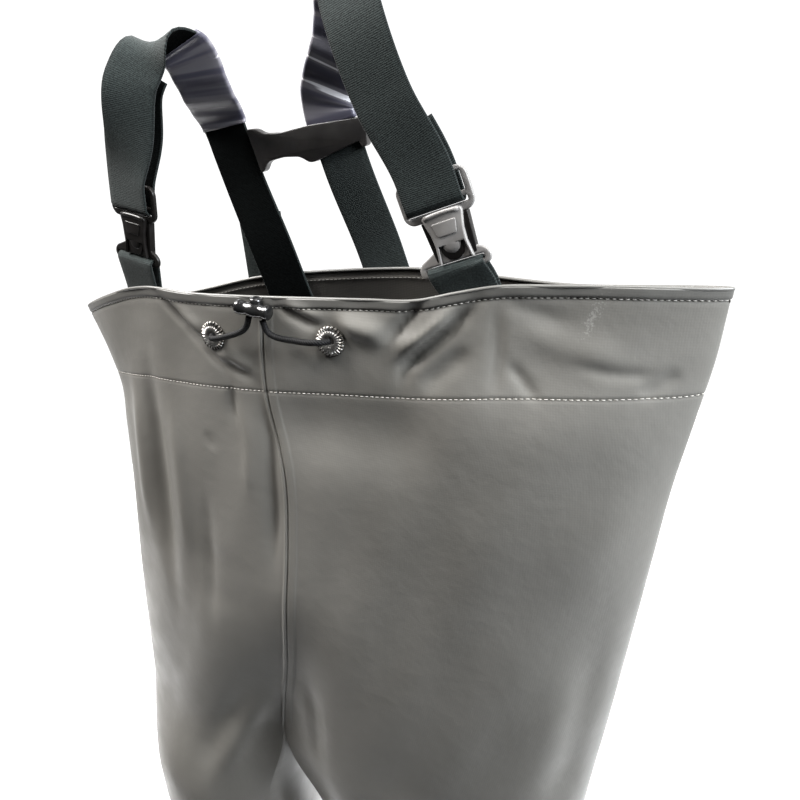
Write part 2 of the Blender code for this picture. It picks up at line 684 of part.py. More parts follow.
def tail_stops(name):
    """The brace's end, sewn to the back of the bib, from just above the rim down."""
    tail = TAILS[name]
    slope = math.tan(math.radians(tail.lean))
    return [back_stop(tail.x + slope * drop, drop, tail.off, tail.lean) for drop in TAIL_DROPS]


def make_brace(name, parts):
    """Elastic brace: its return layer, the fold round the buckle, the shoulder and the back."""
    fold = buckle_stops(name, fold_points(WRAP_BAR, True))
    front_top = buckle_stops(name, [(0.0, -FOLD, FRAME_TOP + 0.002)])
    yoke = yoke_frame()
    slot = YOKE_SPACING / 2 * SIDES[name]
    lean = TAILS[name].lean
    slope = math.tan(math.radians(lean - YOKE_TILT))
    through = [Stop(*(yoke @ Vector((slot - slope * z, 0, z))), lean, 0.0) for z in (0.022, 0.0, -0.022)]
    over = spline(fold[-1:] + front_top + list(SHOULDERS[name]) + through + tail_stops(name), 0.013)
    way = return_layer(over, RETURNS[name]) + fold[:-1] + over
    band("brace_" + name, way, BAND_WIDTH, parts)


def make_outer_tab(parts):
    """Short tab behind the right brace: it lies on the brace, then is sewn outside the bib."""
    stops = [back_stop(stop.x, stop.drop, stop.off, TAB_LEAN) for stop in OUTER_TAB]
    band("brace_tab_right", spline(stops, 0.013), BAND_WIDTH, parts)


def make_loop(name, parts):
    """Webbing loop: both legs inside the front of the bib, folded over the buckle's lower bar."""
    top = buckle_stops(name, fold_points(LOOP_BAR, False))
    place = buckle_frame(name) @ Vector((0, 0, LOOP_BAR - 0.030))
    rim = BIB[0]
    rim_height = rim.height + rim.tilt * place.x
    inner, outer = [], []
    for drop in (0.034, 0.020, 0.008):
        height = rim_height - drop
        wall, outward = bib_wall(place.x, height, True)
        swing = math.degrees(math.atan2(outward.x, -outward.y))
        for leg, layer in zip((inner, outer), LOOP_LAYERS):
            spot = wall - outward * (CLOTH + layer)
            leg.append(Stop(place.x, spot.y, height, BUCKLES[name].lean / 2, swing))
    way = spline(inner + top[:1], 0.010)[:-1] + top + spline(top[-1:] + outer[::-1], 0.010)[1:]
    band("loop_" + name, way, LOOP_WIDTH, parts)


def flat_plate(name, outlines, depth):
    """A closed plate from outlines in the x-z plane, the first outside and the rest windows."""
    curve = bpy.data.curves.new(name, "CURVE")
    curve.dimensions = "2D"
    curve.fill_mode = "BOTH"
    curve.extrude = depth / 2
    for outline in outlines:
        line = curve.splines.new("POLY")
        line.points.add(len(outline) - 1)
        line.use_cyclic_u = True
        for point, (x, z) in zip(line.points, outline):
            point.co = (x, z, 0, 1)
    guide = bpy.data.objects.new(name + "_outline", curve)
    bpy.context.scene.collection.objects.link(guide)
    bpy.context.view_layer.update()
    mesh = bpy.data.meshes.new_from_object(guide.evaluated_get(bpy.context.evaluated_depsgraph_get()))
    bpy.data.objects.remove(guide, do_unlink=True)
    mesh.name = name
    bm = bmesh.new()
    bm.from_mesh(mesh)
    bmesh.ops.remove_doubles(bm, verts=bm.verts, dist=0.00001)
    bmesh.ops.rotate(bm, verts=bm.verts, cent=(0, 0, 0), matrix=Matrix.Rotation(math.pi / 2, 3, "X"))
    bmesh.ops.recalc_face_normals(bm, faces=bm.faces)
    bm.to_mesh(mesh)
    bm.free()
    return mesh


def rectangle(width, low, high):
    """A window or frame outline, centred across."""
    return [(-width / 2, low), (width / 2, low), (width / 2, high), (-width / 2, high)]


def window(low, high):
    """A window of the upper frame, between its side bars."""
    left, right = FRAME_LEFT + LEFT_BAR, FRAME_RIGHT - RIGHT_BAR
    return [(left, low), (right, low), (right, high), (left, high)]


def make_buckle(name, parts, cutters):
    """Upper half of a buckle: slotted frame for the brace and the tapered plug below it."""
    corner = 0.0050
    outer = [(FRAME_RIGHT - corner, FRAME_LOW), (FRAME_RIGHT, FRAME_LOW + corner),
             (FRAME_RIGHT, FRAME_TOP - corner), (FRAME_RIGHT - corner, FRAME_TOP),
             (FRAME_LEFT + corner, FRAME_TOP), (FRAME_LEFT, FRAME_TOP - corner),
             (FRAME_LEFT, FRAME_LOW + corner), (FRAME_LEFT + corner, FRAME_LOW)]
    wrap_low, wrap_high = WRAP_BAR - BAR / 2, WRAP_BAR + BAR / 2
    fold_end = WRAP_BAR - FOLD - BAND / 2 - FOLD_ROOM
    windows = [window(fold_end, wrap_low), window(wrap_high, FRAME_TOP - BAR)]
    frame = flat_plate("buckle_" + name, [outer] + windows, FRAME_DEPTH)
    piece = add_object("buckle_" + name, frame, "plastic", parts)
    end, top = PLUG_HALVES
    sides = [(PLUG_X + end, PLUG_END), (PLUG_X + top, PLUG_TOP),
             (PLUG_X - top, PLUG_TOP), (PLUG_X - end, PLUG_END)]
    plug = flat_plate("plug_" + name, [sides], PLUG_DEPTH)
    tool = bpy.data.objects.new("plug_" + name, plug)
    cutters.objects.link(tool)
    piece.matrix_world = buckle_frame(name)
    tool.matrix_world = buckle_frame(name)
    add_boolean(piece, tool, "UNION", cutters)


def make_loop_frame(name, parts):
    """Lower half of a buckle: socket, bar for the loop, and the wings at the bar's ends."""
    bar_low, bar_high = LOOP_BAR - BAR / 2, LOOP_BAR + BAR / 2
    fold_end = LOOP_BAR + FOLD + BAND / 2 + FOLD_ROOM
    wing = [(0.0225, bar_low), (0.0265, bar_low + 0.0005), (0.0288, bar_high), (0.0286, bar_high + 0.0040),
            (0.0255, bar_high + 0.0080), (0.0195, bar_high + 0.0105)]
    neck = [(PLUG_X + side * PLUG_HALVES[0], PLUG_END - GAP) for side in (1, -1)]
    outer = wing + neck + [(-x, z) for x, z in reversed(wing)]
    opening = rectangle(LOOP_WIDTH + 0.0020, bar_high, fold_end)
    mesh = flat_plate("loop_frame_" + name, [outer, opening], FRAME_DEPTH)
    add_object("loop_frame_" + name, mesh, "plastic", parts).matrix_world = buckle_frame(name)


def make_yoke(parts, cutters):
    """Moulded connector between the braces: a sleeve round the left one, a channel behind the right one."""
    yoke = add_object("yoke", flat_plate("yoke", [YOKE_OUTLINE], YOKE_DEPTH), "yoke", parts)
    yoke.matrix_world = yoke_frame()
    slot_depth = BAND + 0.0022
    for name, side in SIDES.items():
        bpy.ops.mesh.primitive_cube_add(size=1.0)
        tool = bpy.context.object
        tool.name = "yoke_slot_" + name
        open_front = YOKE_DEPTH if name == "right" else 0.0
        tool.scale = (BAND_WIDTH + 0.0030 + open_front, slot_depth + open_front, 0.08)
        bpy.ops.object.transform_apply(location=False, rotation=False, scale=True)
        place = (side * (YOKE_SPACING + open_front) / 2, -open_front / 2, 0)
        turn = Matrix.Rotation(math.radians(YOKE_TILT - TAILS[name].lean), 4, "Y")
        tool.matrix_world = yoke_frame() @ Matrix.Translation(place) @ turn
        add_boolean(yoke, tool, "DIFFERENCE", cutters)


# Drawcord
def make_eyelet(name, parts):
    """Turned eyelet: a barrel through the cloth and a domed flange outside it."""
    bore = CORD / 2 + 0.0014
    profile = [(bore, 0.0022), (EYELET_HOLE + 0.0018, 0.0030), (EYELET_OUTER - 0.0010, 0.0020),
               (EYELET_OUTER, 0.0011), (EYELET_HOLE, 0.0011), (EYELET_HOLE, -0.0040), (bore, -0.0040)]
    bm = bmesh.new()
    verts = [bm.verts.new((r, 0, z)) for r, z in profile]
    for k in range(len(verts)):
        bm.edges.new((verts[k], verts[(k + 1) % len(verts)]))
    mesh = bpy.data.meshes.new("eyelet_" + name)
    bm.to_mesh(mesh)
    bm.free()
    piece = add_object("eyelet_" + name, mesh, "metal", parts)
    turn = piece.modifiers.new("turn", "SCREW")
    turn.steps = 20
    turn.render_steps = 20
    turn.use_merge_vertices = True
    turn.merge_threshold = 0.00001
    place, outward = bib_wall(*EYELETS[name], True)
    piece.location = place
    piece.rotation_euler = outward.to_track_quat("Z", "Y").to_euler()


def lock_frame():
    """The cord lock's own frame: x along its barrel."""
    return Matrix.Translation(LOCK_MIDDLE) @ Matrix.Rotation(-math.radians(LOCK_TILT), 4, "Y")


def make_cord_lock(parts):
    """Barrel lock with rounded ends on the drawcord, in front of the rim."""
    half = LOCK_LENGTH / 2
    profile = [(0.0, half)]
    for k in range(1, 5):
        turn = math.pi / 2 * k / 4
        profile.append((LOCK_RADIUS * math.sin(turn), half - 0.004 * (1 - math.cos(turn))))
    profile += [(r, -z) for r, z in reversed(profile)]
    bm = bmesh.new()
    verts = [bm.verts.new((r, 0, z)) for r, z in profile]
    for start, end in zip(verts, verts[1:]):
        bm.edges.new((start, end))
    mesh = bpy.data.meshes.new("cord_lock")
    bm.to_mesh(mesh)
    bm.free()
    piece = add_object("cord_lock", mesh, "cord", parts)
    turn = piece.modifiers.new("turn", "SCREW")
    turn.steps = 14
    turn.render_steps = 14
    turn.use_merge_vertices = True
    turn.merge_threshold = 0.00001
    piece.matrix_world = lock_frame() @ Matrix.Rotation(math.pi / 2, 4, "Y")


def cord_stops(name):
    """Stops of a drawcord end: out of its eyelet, hanging slack, then up to the lock's underside."""
    place, outward = bib_wall(*EYELETS[name], True)
    mouth = LOCK_RADIUS + CORD_ROOM
    end = lock_frame() @ Vector((LOCK_MOUTHS[name], 0, -mouth))
    start = place + outward * 0.0016
    out = place + outward * 0.0075 + Vector((-SIDES[name] * 0.004, 0, 0))
    approach = end + Vector((SIDES[name] * 0.003, 0, -0.008))
    low = out.lerp(approach, 0.45) + Vector((0, -0.002, -0.0030))
    return [start, out, low, approach, end]


def make_drawcord(name, parts):
    """One end of the drawcord as a tube from its eyelet to the lock."""
    stops = cord_stops(name)
    points = spline(stops, 0.008)
    curve = bpy.data.curves.new("drawcord_" + name, "CURVE")
    curve.dimensions = "3D"
    curve.bevel_depth = CORD / 2
    curve.bevel_resolution = 2
    curve.use_fill_caps = True
    line = curve.splines.new("POLY")
    line.points.add(len(points) - 1)
    for point, place in zip(line.points, points):
        point.co = (*place, 1)
    cord = bpy.data.objects.new("drawcord_" + name, curve)
    curve.materials.append(material("cord"))
    parts.objects.link(cord)


def main():
    """Build every piece of the waders."""
    parts, cutters = start_scene()
    for name, side in SIDES.items():
        make_body_half(name, side, parts, cutters)
        make_leg(name, side, parts)
        make_boots(name, side, parts)
        make_soles(name, side, parts, cutters)
        make_brace(name, parts)
        make_loop(name, parts)
        make_buckle(name, parts, cutters)
        make_loop_frame(name, parts)
        make_eyelet(name, parts)
        make_drawcord(name, parts)
    make_outer_tab(parts)
    make_yoke(parts, cutters)
    make_cord_lock(parts)


main()
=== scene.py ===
"""Chest waders dressed for a studio view: coated cloth with its folds, knitted braces in clear sleeves,
moulded buckles, a drawcord with its lock, and cleated boots.

Metres, +Z up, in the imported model's frame. The front faces -Y, and left and right are the wearer's:
left is +X. The tables of sections and stops are those of the solids, so that each piece lies on its solid.
Only the front of the crotch differs: there the cloth hangs flatter than its solid.
"""
import math
from collections import namedtuple
from contextlib import contextmanager

import bmesh
import bpy
import numpy as np
from mathutils import Matrix, Vector
from mathutils.bvhtree import BVHTree

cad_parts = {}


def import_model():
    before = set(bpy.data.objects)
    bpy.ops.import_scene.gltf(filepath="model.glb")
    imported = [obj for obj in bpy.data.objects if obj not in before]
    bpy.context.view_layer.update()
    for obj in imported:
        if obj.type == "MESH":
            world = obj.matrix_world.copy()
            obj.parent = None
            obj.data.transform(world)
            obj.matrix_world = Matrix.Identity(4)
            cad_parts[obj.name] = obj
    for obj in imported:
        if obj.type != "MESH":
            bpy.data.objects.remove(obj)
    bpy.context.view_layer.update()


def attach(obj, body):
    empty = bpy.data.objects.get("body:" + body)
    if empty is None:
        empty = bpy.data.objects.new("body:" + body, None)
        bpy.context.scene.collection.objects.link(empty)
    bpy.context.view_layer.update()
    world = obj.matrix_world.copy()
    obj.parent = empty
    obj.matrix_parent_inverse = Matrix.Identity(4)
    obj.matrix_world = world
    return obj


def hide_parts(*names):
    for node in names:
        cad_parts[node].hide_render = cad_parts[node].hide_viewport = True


# Camera: where the photograph was taken from
CAMERA_PLACE = (0.308, -0.471, 1.564)
CAMERA_YAW = 25.0
CAMERA_PITCH = 25.65
CAMERA_LENS = 34.2        # mm, on a 36 mm sensor

# Sizes shared with the solids
CLOTH = 0.0012
GAP = 0.0003
CROTCH_HEIGHT = 0.862
CROTCH_DIP = 0.040
LEG_BLEND = 0.14
LEG_END = 0.262
LEG_SLIP = 0.0018
LEFT_DROOP = 0.55
BOOT_X = 0.135
BOOT_WALL = 0.0026
FOOT_SWAY = 0.010
ARCH_CUT = 0.007
TOE_LIFT = 0.012
SOLE_EDGE = 0.0035
INSOLE = 0.004
INSOLE_ROOM = 0.0014
GROOVE_WIDTH = 0.0055
GROOVE_DEPTH = 0.0050
CHEVRON = 0.012
BAND_WIDTH = 0.046
BAND = 0.0022
LOOP_WIDTH = 0.045
LOOP_LAYERS = (0.0110, 0.0062)
SEWN_OFF = 0.0027
INSIDE_OFF = 0.0055
FOLD_RADIUS = 0.0042
CORD = 0.0052
EYELET_OUTER = 0.0128
EYELET_HOLE = 0.0072
EYELET_TEETH = 24
CROTCH_ARC = math.radians(36)
CLEFT_WIDTH = 0.055
SIDES = {"left": 1, "right": -1}

BibSection = namedtuple("BibSection", "height tilt droop right seam left side front back point cleft")
BIB = [BibSection(*row) for row in (
    (1.379, 0.150, 0.026, -0.305, -0.045, 0.303, 0.078, 0.058, 0.044, 1.45, 0.000),
    (1.358, 0.150, 0.024, -0.299, -0.046, 0.302, 0.078, 0.059, 0.046, 1.45, 0.000),
    (1.325, 0.146, 0.020, -0.287, -0.046, 0.300, 0.078, 0.061, 0.049, 1.40, 0.000),
    (1.283, 0.142, 0.012, -0.276, -0.043, 0.295, 0.078, 0.064, 0.054, 1.35, 0.000),
    (1.220, 0.112, 0.004, -0.277, -0.029, 0.288, 0.079, 0.070, 0.062, 1.25, 0.000),
    (1.145, 0.077, 0.000, -0.280, -0.028, 0.281, 0.080, 0.075, 0.070, 1.20, 0.000),
    (1.065, 0.046, 0.000, -0.284, -0.033, 0.275, 0.080, 0.080, 0.077, 1.15, 0.004),
    (0.990, 0.024, 0.000, -0.287, -0.043, 0.269, 0.080, 0.083, 0.081, 1.10, 0.012),
    (0.922, 0.009, 0.000, -0.289, -0.058, 0.263, 0.080, 0.083, 0.083, 1.05, 0.026),
    (CROTCH_HEIGHT, 0.000, 0.000, -0.290, -0.069, 0.258, 0.079, 0.080, 0.082, 1.00, 0.046),
)]
RimSpot = namedtuple("RimSpot", "x front back")
RIM = [RimSpot(*row) for row in (
    (-0.305, 0.0027, 0.0027),
    (-0.240, 0.0085, -0.0022),
    (-0.205, 0.0117, -0.0048),
    (-0.180, 0.0116, -0.0038),
    (-0.125, 0.0040, 0.0005),
    (-0.068, 0.0003, 0.0004),
    (0.000, -0.0028, -0.0008),
    (0.050, -0.0052, -0.0002),
    (0.090, -0.0068, -0.0030),
    (0.120, -0.0018, -0.0052),
    (0.146, 0.0019, -0.0072),
    (0.190, 0.0018, -0.0092),
    (0.240, 0.0006, -0.0070),
    (0.303, -0.0022, -0.0022),
)]

LegSection = namedtuple("LegSection", "height middle forward half_width half_depth")
LEGS = {
    "left": [LegSection(*row) for row in (
        (0.800, 0.100, 0.078, 0.152, 0.074),
        (0.720, 0.104, 0.077, 0.144, 0.076),
        (0.600, 0.113, 0.076, 0.126, 0.080),
        (0.480, 0.124, 0.077, 0.107, 0.084),
        (0.370, 0.132, 0.079, 0.087, 0.086),
    )],
    "right": [LegSection(*row) for row in (
        (0.800, -0.185, 0.079, 0.108, 0.088),
        (0.720, -0.184, 0.078, 0.106, 0.089),
        (0.600, -0.174, 0.077, 0.104, 0.089),
        (0.480, -0.158, 0.078, 0.097, 0.087),
        (0.370, -0.143, 0.079, 0.086, 0.086),
    )],
}
LEG_CUFF = 0.298          # the leg fits the boot shaft from here down

BootSection = namedtuple(
    "BootSection", "height spring heel toe heel_half waist_half ball_half tip_half full curve")
BOOT = [BootSection(*row) for row in (
    (0.0253, 1.00, 0.1450, -0.1460, 0.0345, 0.0350, 0.0490, 0.0400, 3.60, 1.00),
    (0.0400, 0.90, 0.1480, -0.1490, 0.0365, 0.0375, 0.0510, 0.0430, 3.60, 1.00),
    (0.0540, 0.75, 0.1495, -0.1460, 0.0375, 0.0385, 0.0505, 0.0420, 3.50, 0.95),
    (0.0660, 0.50, 0.1495, -0.1320, 0.0380, 0.0390, 0.0480, 0.0390, 3.30, 0.85),
    (0.0770, 0.25, 0.1490, -0.1080, 0.0380, 0.0400, 0.0460, 0.0380, 3.00, 0.70),
    (0.0900, 0.10, 0.1480, -0.0800, 0.0385, 0.0410, 0.0445, 0.0380, 2.70, 0.50),
    (0.1060, 0.00, 0.1465, -0.0530, 0.0395, 0.0430, 0.0440, 0.0390, 2.45, 0.30),
    (0.1260, 0.00, 0.1455, -0.0300, 0.0410, 0.0455, 0.0455, 0.0420, 2.25, 0.12),
    (0.1520, 0.00, 0.1460, -0.0140, 0.0440, 0.0490, 0.0490, 0.0460, 2.10, 0.00),
    (0.1900, 0.00, 0.1480, -0.0050, 0.0500, 0.0540, 0.0540, 0.0520, 2.00, 0.00),
    (0.2400, 0.00, 0.1510, -0.0010, 0.0590, 0.0600, 0.0600, 0.0590, 2.00, 0.00),
    (0.3000, 0.00, 0.1540, 0.0010, 0.0640, 0.0640, 0.0640, 0.0640, 2.00, 0.00),
)]
HALF_WIDTH_STATIONS = (0.0, 0.15, 0.42, 0.70, 0.92, 1.0)
SoleProfile = namedtuple("SoleProfile", "station top bottom")
SOLE_PROFILE = [SoleProfile(*row) for row in (
    (0.00, 0.0250, 0.0030),
    (0.06, 0.0250, 0.0000),
    (0.27, 0.0250, 0.0000),
    (0.30, 0.0248, 0.0095),
    (0.45, 0.0225, 0.0080),
    (0.52, 0.0210, 0.0000),
    (0.76, 0.0200, 0.0000),
    (0.89, 0.0205, 0.0030),
    (1.00, 0.0250, 0.0115),
)]
SideStep = namedtuple("SideStep", "share out")
SOLE_SIDE = [SideStep(*row) for row in (
    (0.00, -0.0040),
    (0.14, -0.0005),
    (0.46, 0.0000),
    (0.52, -0.0016),
    (0.66, -0.0016),
    (0.72, 0.0005),
    (1.00, 0.0000),
)]
HEEL_GROOVES = (0.127, 0.107, 0.087)
TOE_GROOVES = (-0.008, -0.030, -0.052, -0.074, -0.096, -0.118)
GROOVE_REACH = 0.075

Stop = namedtuple("Stop", "x y z lean swing")
BUCKLES = {
    "left": Stop(0.1066, 0.0370, 1.4365, 22.0, 2.0),
    "right": Stop(-0.1880, 0.0385, 1.4090, -4.0, -9.0),
}
SHOULDERS = {
    "left": [Stop(*row) for row in (
        (0.0617, 0.0290, 1.5245, 22.0, 0.0),
        (0.0350, 0.0340, 1.5830, 20.0, 0.0),
        (0.0180, 0.0530, 1.6140, 14.0, 0.0),
        (0.0080, 0.0760, 1.6060, 10.0, 0.0),
        (-0.0080, 0.1000, 1.5600, 12.0, 0.0),
    )],
    "right": [Stop(*row) for row in (
        (-0.1740, 0.0320, 1.4875, -3.0, 8.0),
        (-0.1640, 0.0350, 1.5340, 5.0, 18.0),
        (-0.1500, 0.0530, 1.5590, 19.0, 22.0),
        (-0.1450, 0.0760, 1.5540, 18.0, 18.0),
        (-0.1430, 0.0990, 1.5200, 13.0, 8.0),
    )],
}
Return = namedtuple("Return", "length spread")
RETURNS = {"left": Return(0.055, 0.0), "right": Return(0.120, 0.006)}
TAIL_DROP = 0.062
YOKE_MIDDLE = Vector((-0.0820, 0.1220, 1.4765))
YOKE_TILT = 8.0
YOKE_SPACING = 0.1110
YOKE_DEPTH = 0.0080
YOKE_STOPS = (0.022, 0.0, -0.022)
YOKE_SLOT_ROOM = 0.0030
YOKE_SLOT_GAP = 0.0022
YOKE_OUTLINE = (
    (-0.077, -0.0130), (-0.032, -0.0150), (-0.0285, -0.0215), (-0.0225, -0.0205), (-0.0170, -0.0125),
    (0.000, -0.0100), (0.017, -0.0110), (0.026, -0.0165), (0.031, -0.0165), (0.078, -0.0030),
    (0.079, -0.0085), (0.085, -0.0075), (0.086, 0.0130), (0.080, 0.0155), (0.030, 0.0140),
    (0.000, 0.0105), (-0.017, 0.0115), (-0.024, 0.0160), (-0.032, 0.0165), (-0.077, 0.0130),
)
Tail = namedtuple("Tail", "x lean off")
TAILS = {"left": Tail(0.0140, 20.0, SEWN_OFF), "right": Tail(-0.0915, 20.0, -INSIDE_OFF)}
TAIL_DROPS = (-0.010, 0.008, 0.026, 0.044, TAIL_DROP)
TabStop = namedtuple("TabStop", "x drop off")
OUTER_TAB = [TabStop(*row) for row in (
    (-0.1165, -0.052, 0.0046),
    (-0.1135, -0.030, 0.0036),
    (-0.1110, -0.008, SEWN_OFF),
    (-0.1080, 0.030, SEWN_OFF),
    (-0.1060, TAIL_DROP, SEWN_OFF),
)]
TAB_LEAN = 13.0
FRAME_LEFT = -0.0268
FRAME_RIGHT = 0.0302
FRAME_TOP = 0.0415
FRAME_LOW = 0.0100
LEFT_BAR = 0.0034
RIGHT_BAR = 0.0048
WRAP_BAR = 0.0216
LOOP_BAR = -0.0280
BAR = 0.0040
FOLD_ROOM = 0.0003
PLUG_X = 0.0035
PLUG_TOP = 0.0145
PLUG_END = -0.0100
PLUG_HALVES = (0.0125, 0.0160)
FRAME_DEPTH = 0.0036
FRAME_CLEAR = 0.002
EYELETS = {"left": (0.0180, 1.3440), "right": (-0.0990, 1.3300)}
LOCK_MIDDLE = Vector((-0.0475, 0.0100, 1.3635))
LOCK_LENGTH = 0.032
LOCK_RADIUS = 0.0060
LOCK_TILT = -3.0
CORD_ROOM = 0.0011
LOCK_MOUTHS = {"left": 0.0085, "right": -0.0045}

# Dressing: sizes of what the solids leave plain
CLEFT_FRONT = 0.028       # how far the front cloth goes in between the thighs at the crotch
CLEFT_TOP = 1.09          # height where it begins to go in
FOOT_TOP = 0.110
FOOT_ROWS = 44
SHAFT_START = 0.1125
SHAFT_ROWS = 62
BOOT_STATIONS = 58
SOLE_STATIONS = 64
TOE_RIDGE_PITCH = 0.0065
CLEAT_EDGE = 0.0006
ANKLE_RIBS = (0.128, 0.141, 0.154)
TAPE_RISE = 0.006         # middle of the tape at the leg's end, above that end
TAPE_OFF = 0.0005
TAPE_PROFILE = (
    (-0.0006, -0.0105), (0.0006, -0.0100), (0.0012, -0.0080), (0.0013, 0.0), (0.0012, 0.0080),
    (0.0006, 0.0100), (-0.0006, 0.0105),
)
Sleeve = namedtuple("Sleeve", "after low")      # steps after the shoulder's top, and height of its low end
SLEEVES = {"left": Sleeve(0, 1.492), "right": Sleeve(6, 1.487)}
SLEEVE_ROOM = (0.0024, 0.0028)                  # wider and thicker than the brace
RIPPLES = ((0.00045, 330, 0.0), (0.0004, 171, 1.0))
BAND_STEP = 0.004
SLEEVE_STEP = 0.0025
CORD_STEP = 0.0012
LOOP_DROPS = (0.034, 0.020, 0.008)
LOOP_SEWN = 0.030         # below the buckle's lower bar, where the loop is sewn on
MOULD_EDGE = 0.0009
YOKE_CORNER = 0.004
SLOT_TOOL = 0.08          # longer than the yoke is high
FRAME_CORNER = 0.0050
SLOT_CORNER = 0.0010
LOOP_SLOT_ROOM = 0.0020
FACE_END = PLUG_END + 0.0008
LEG_TIP = LOOP_BAR + FOLD_RADIUS + BAND / 2 + 0.0010
SHADOW_RING_RADIUS = 0.0092
PlugLayer = namedtuple("PlugLayer", "name depth back edge dark")
PLUG_LAYERS = (
    PlugLayer("face", 0.0042, -0.0031, 0.0013, False),
    PlugLayer("core", 0.0062, 0.0017, 0.0006, True),
    PlugLayer("socket", 0.0030, -0.0018, 0.0008, False),
    # a dark disc behind the dome; the crescent of it that shows below the dome is painted shadow
    PlugLayer("ring", 0.0016, -0.0032, 0.0004, True),
    PlugLayer("crest", 0.0012, -0.0053, 0.0005, False),
)
RAIL_LAYER = PlugLayer("rail", 0.0060, 0.0010, 0.0008, True)
DOME_PROFILE = ((0.0, 0.0020), (0.0034, 0.0019), (0.0060, 0.0014), (0.0076, 0.0005), (0.0080, -0.0010))

# Studio: a room dim in front of the waders and white behind them, by direction from front to back
ROOM_STOPS = ((0.00, 0.035), (0.36, 0.05), (0.56, (0.25, 0.25, 0.26)), (0.64, 1.0))
ROOM_STRENGTH = 1.15
FLOOR_SIZE = 3.2
FLOOR_PLACE = (-0.2, 1.4, -0.0002)
FLOOR_GLOW = 0.55
Light = namedtuple("Light", "name place target size power colour")
LIGHTS = (
    Light("left_window", (-1.45, -0.25, 2.7), (-0.1, 0.05, 1.15), 1.0, 150.0, (1.0, 0.98, 0.96)),
    Light("right_window", (1.7, -0.10, 2.5), (0.1, 0.05, 1.15), 1.0, 140.0, (0.90, 0.95, 1.0)),
    Light("ceiling", (0.45, -0.30, 3.1), (0.05, 0.05, 1.2), 0.8, 48.0, (1.0, 0.97, 0.93)),
)

# Finishes: pitches of weave, ribs and strands, and the chalky scuff below the rim
WEAVE_PITCH = 0.0021
BACKING_PITCH = 0.0016
RIB_PITCH = 0.0014
SELVAGE = 0.0016
STRAND_PITCH = 0.0011
STITCH_SHADE = 0.0025     # reach of the dark line along each row of stitches, partly painted shade of the drawn-in cloth and partly dirt
TOOTH_GAP = 0.0026        # length of the dark gaps between an eyelet's teeth
SCUFF_PLACE = (0.217, 0.046, 1.386)
SCUFF_TURN = math.radians(18)
SCUFF_REACH = (0.005, 0.05, 0.019)

# Sewing: rows of stitches below the rim, and the lap of the front seam
RIM_STITCH = 0.0085
CASING_STITCH = 0.0835
STITCH_LENGTH = 0.0033
STITCH_PITCH = 0.0045
STITCH_RADIUS = 0.00038
STITCH_PROFILE = (        # along, girth and rise of a stitch, in shares of its size
    (-0.5, 0.25, -0.8), (-0.38, 0.85, 0.2), (0.0, 1.0, 0.6), (0.38, 0.85, 0.2), (0.5, 0.25, -0.8),
)
DENT = 0.0005             # how far a row of stitches draws the cloth in
DENT_WIDTH = 0.0014
HEM_RISE = 0.0009
ROLL_RADIUS = 0.0014
ROLL_INSET = CLOTH * 0.3
LAP_WIDTH = 0.0110
LAP_RISE = 0.0006
RIDGE_RISE = 0.0011       # the ridge beside the lap, and the groove between them
GROOVE_DIP = 0.0013

# Spacing: rows and columns of the cloth's points
SEAM_REACH = {1: 0.335, -1: 0.245}      # about how far the bib reaches beside its front seam
ON_LAP = (0.0, 0.0141, 0.0010)          # start, end and step of the columns on the lap
BESIDE_LAP = (0.0170, 0.085, 0.0045)    # and of those beside it
FRONT_TURN = 0.015
CROTCH_GIRTH = 0.12                     # length of the cloth through the crotch, for its weave
BACK_COLUMNS = 30
CROTCH_COLUMNS = 16
BIB_ROWS = 62
LEG_ROWS = 42
RIM_STEPS = 1440
HEM_ROWS = (0.0, 0.001, 0.0025, 0.0045, 0.0060, 0.0072, 0.0080, 0.0088, 0.0096, 0.0112, 0.0145)
CASING_ROWS = (0.0178, CASING_STITCH - 0.0040, 0.0028)
STITCH_ROWS = (-0.0035, -0.0020, -0.0008, 0.0, 0.0008, 0.0020, 0.0035)
BELOW_CASING = CASING_STITCH + 0.008
HEM_STEP = 0.004                        # a little way down from a row, to find the cloth's slope there
RAY_START = 0.02

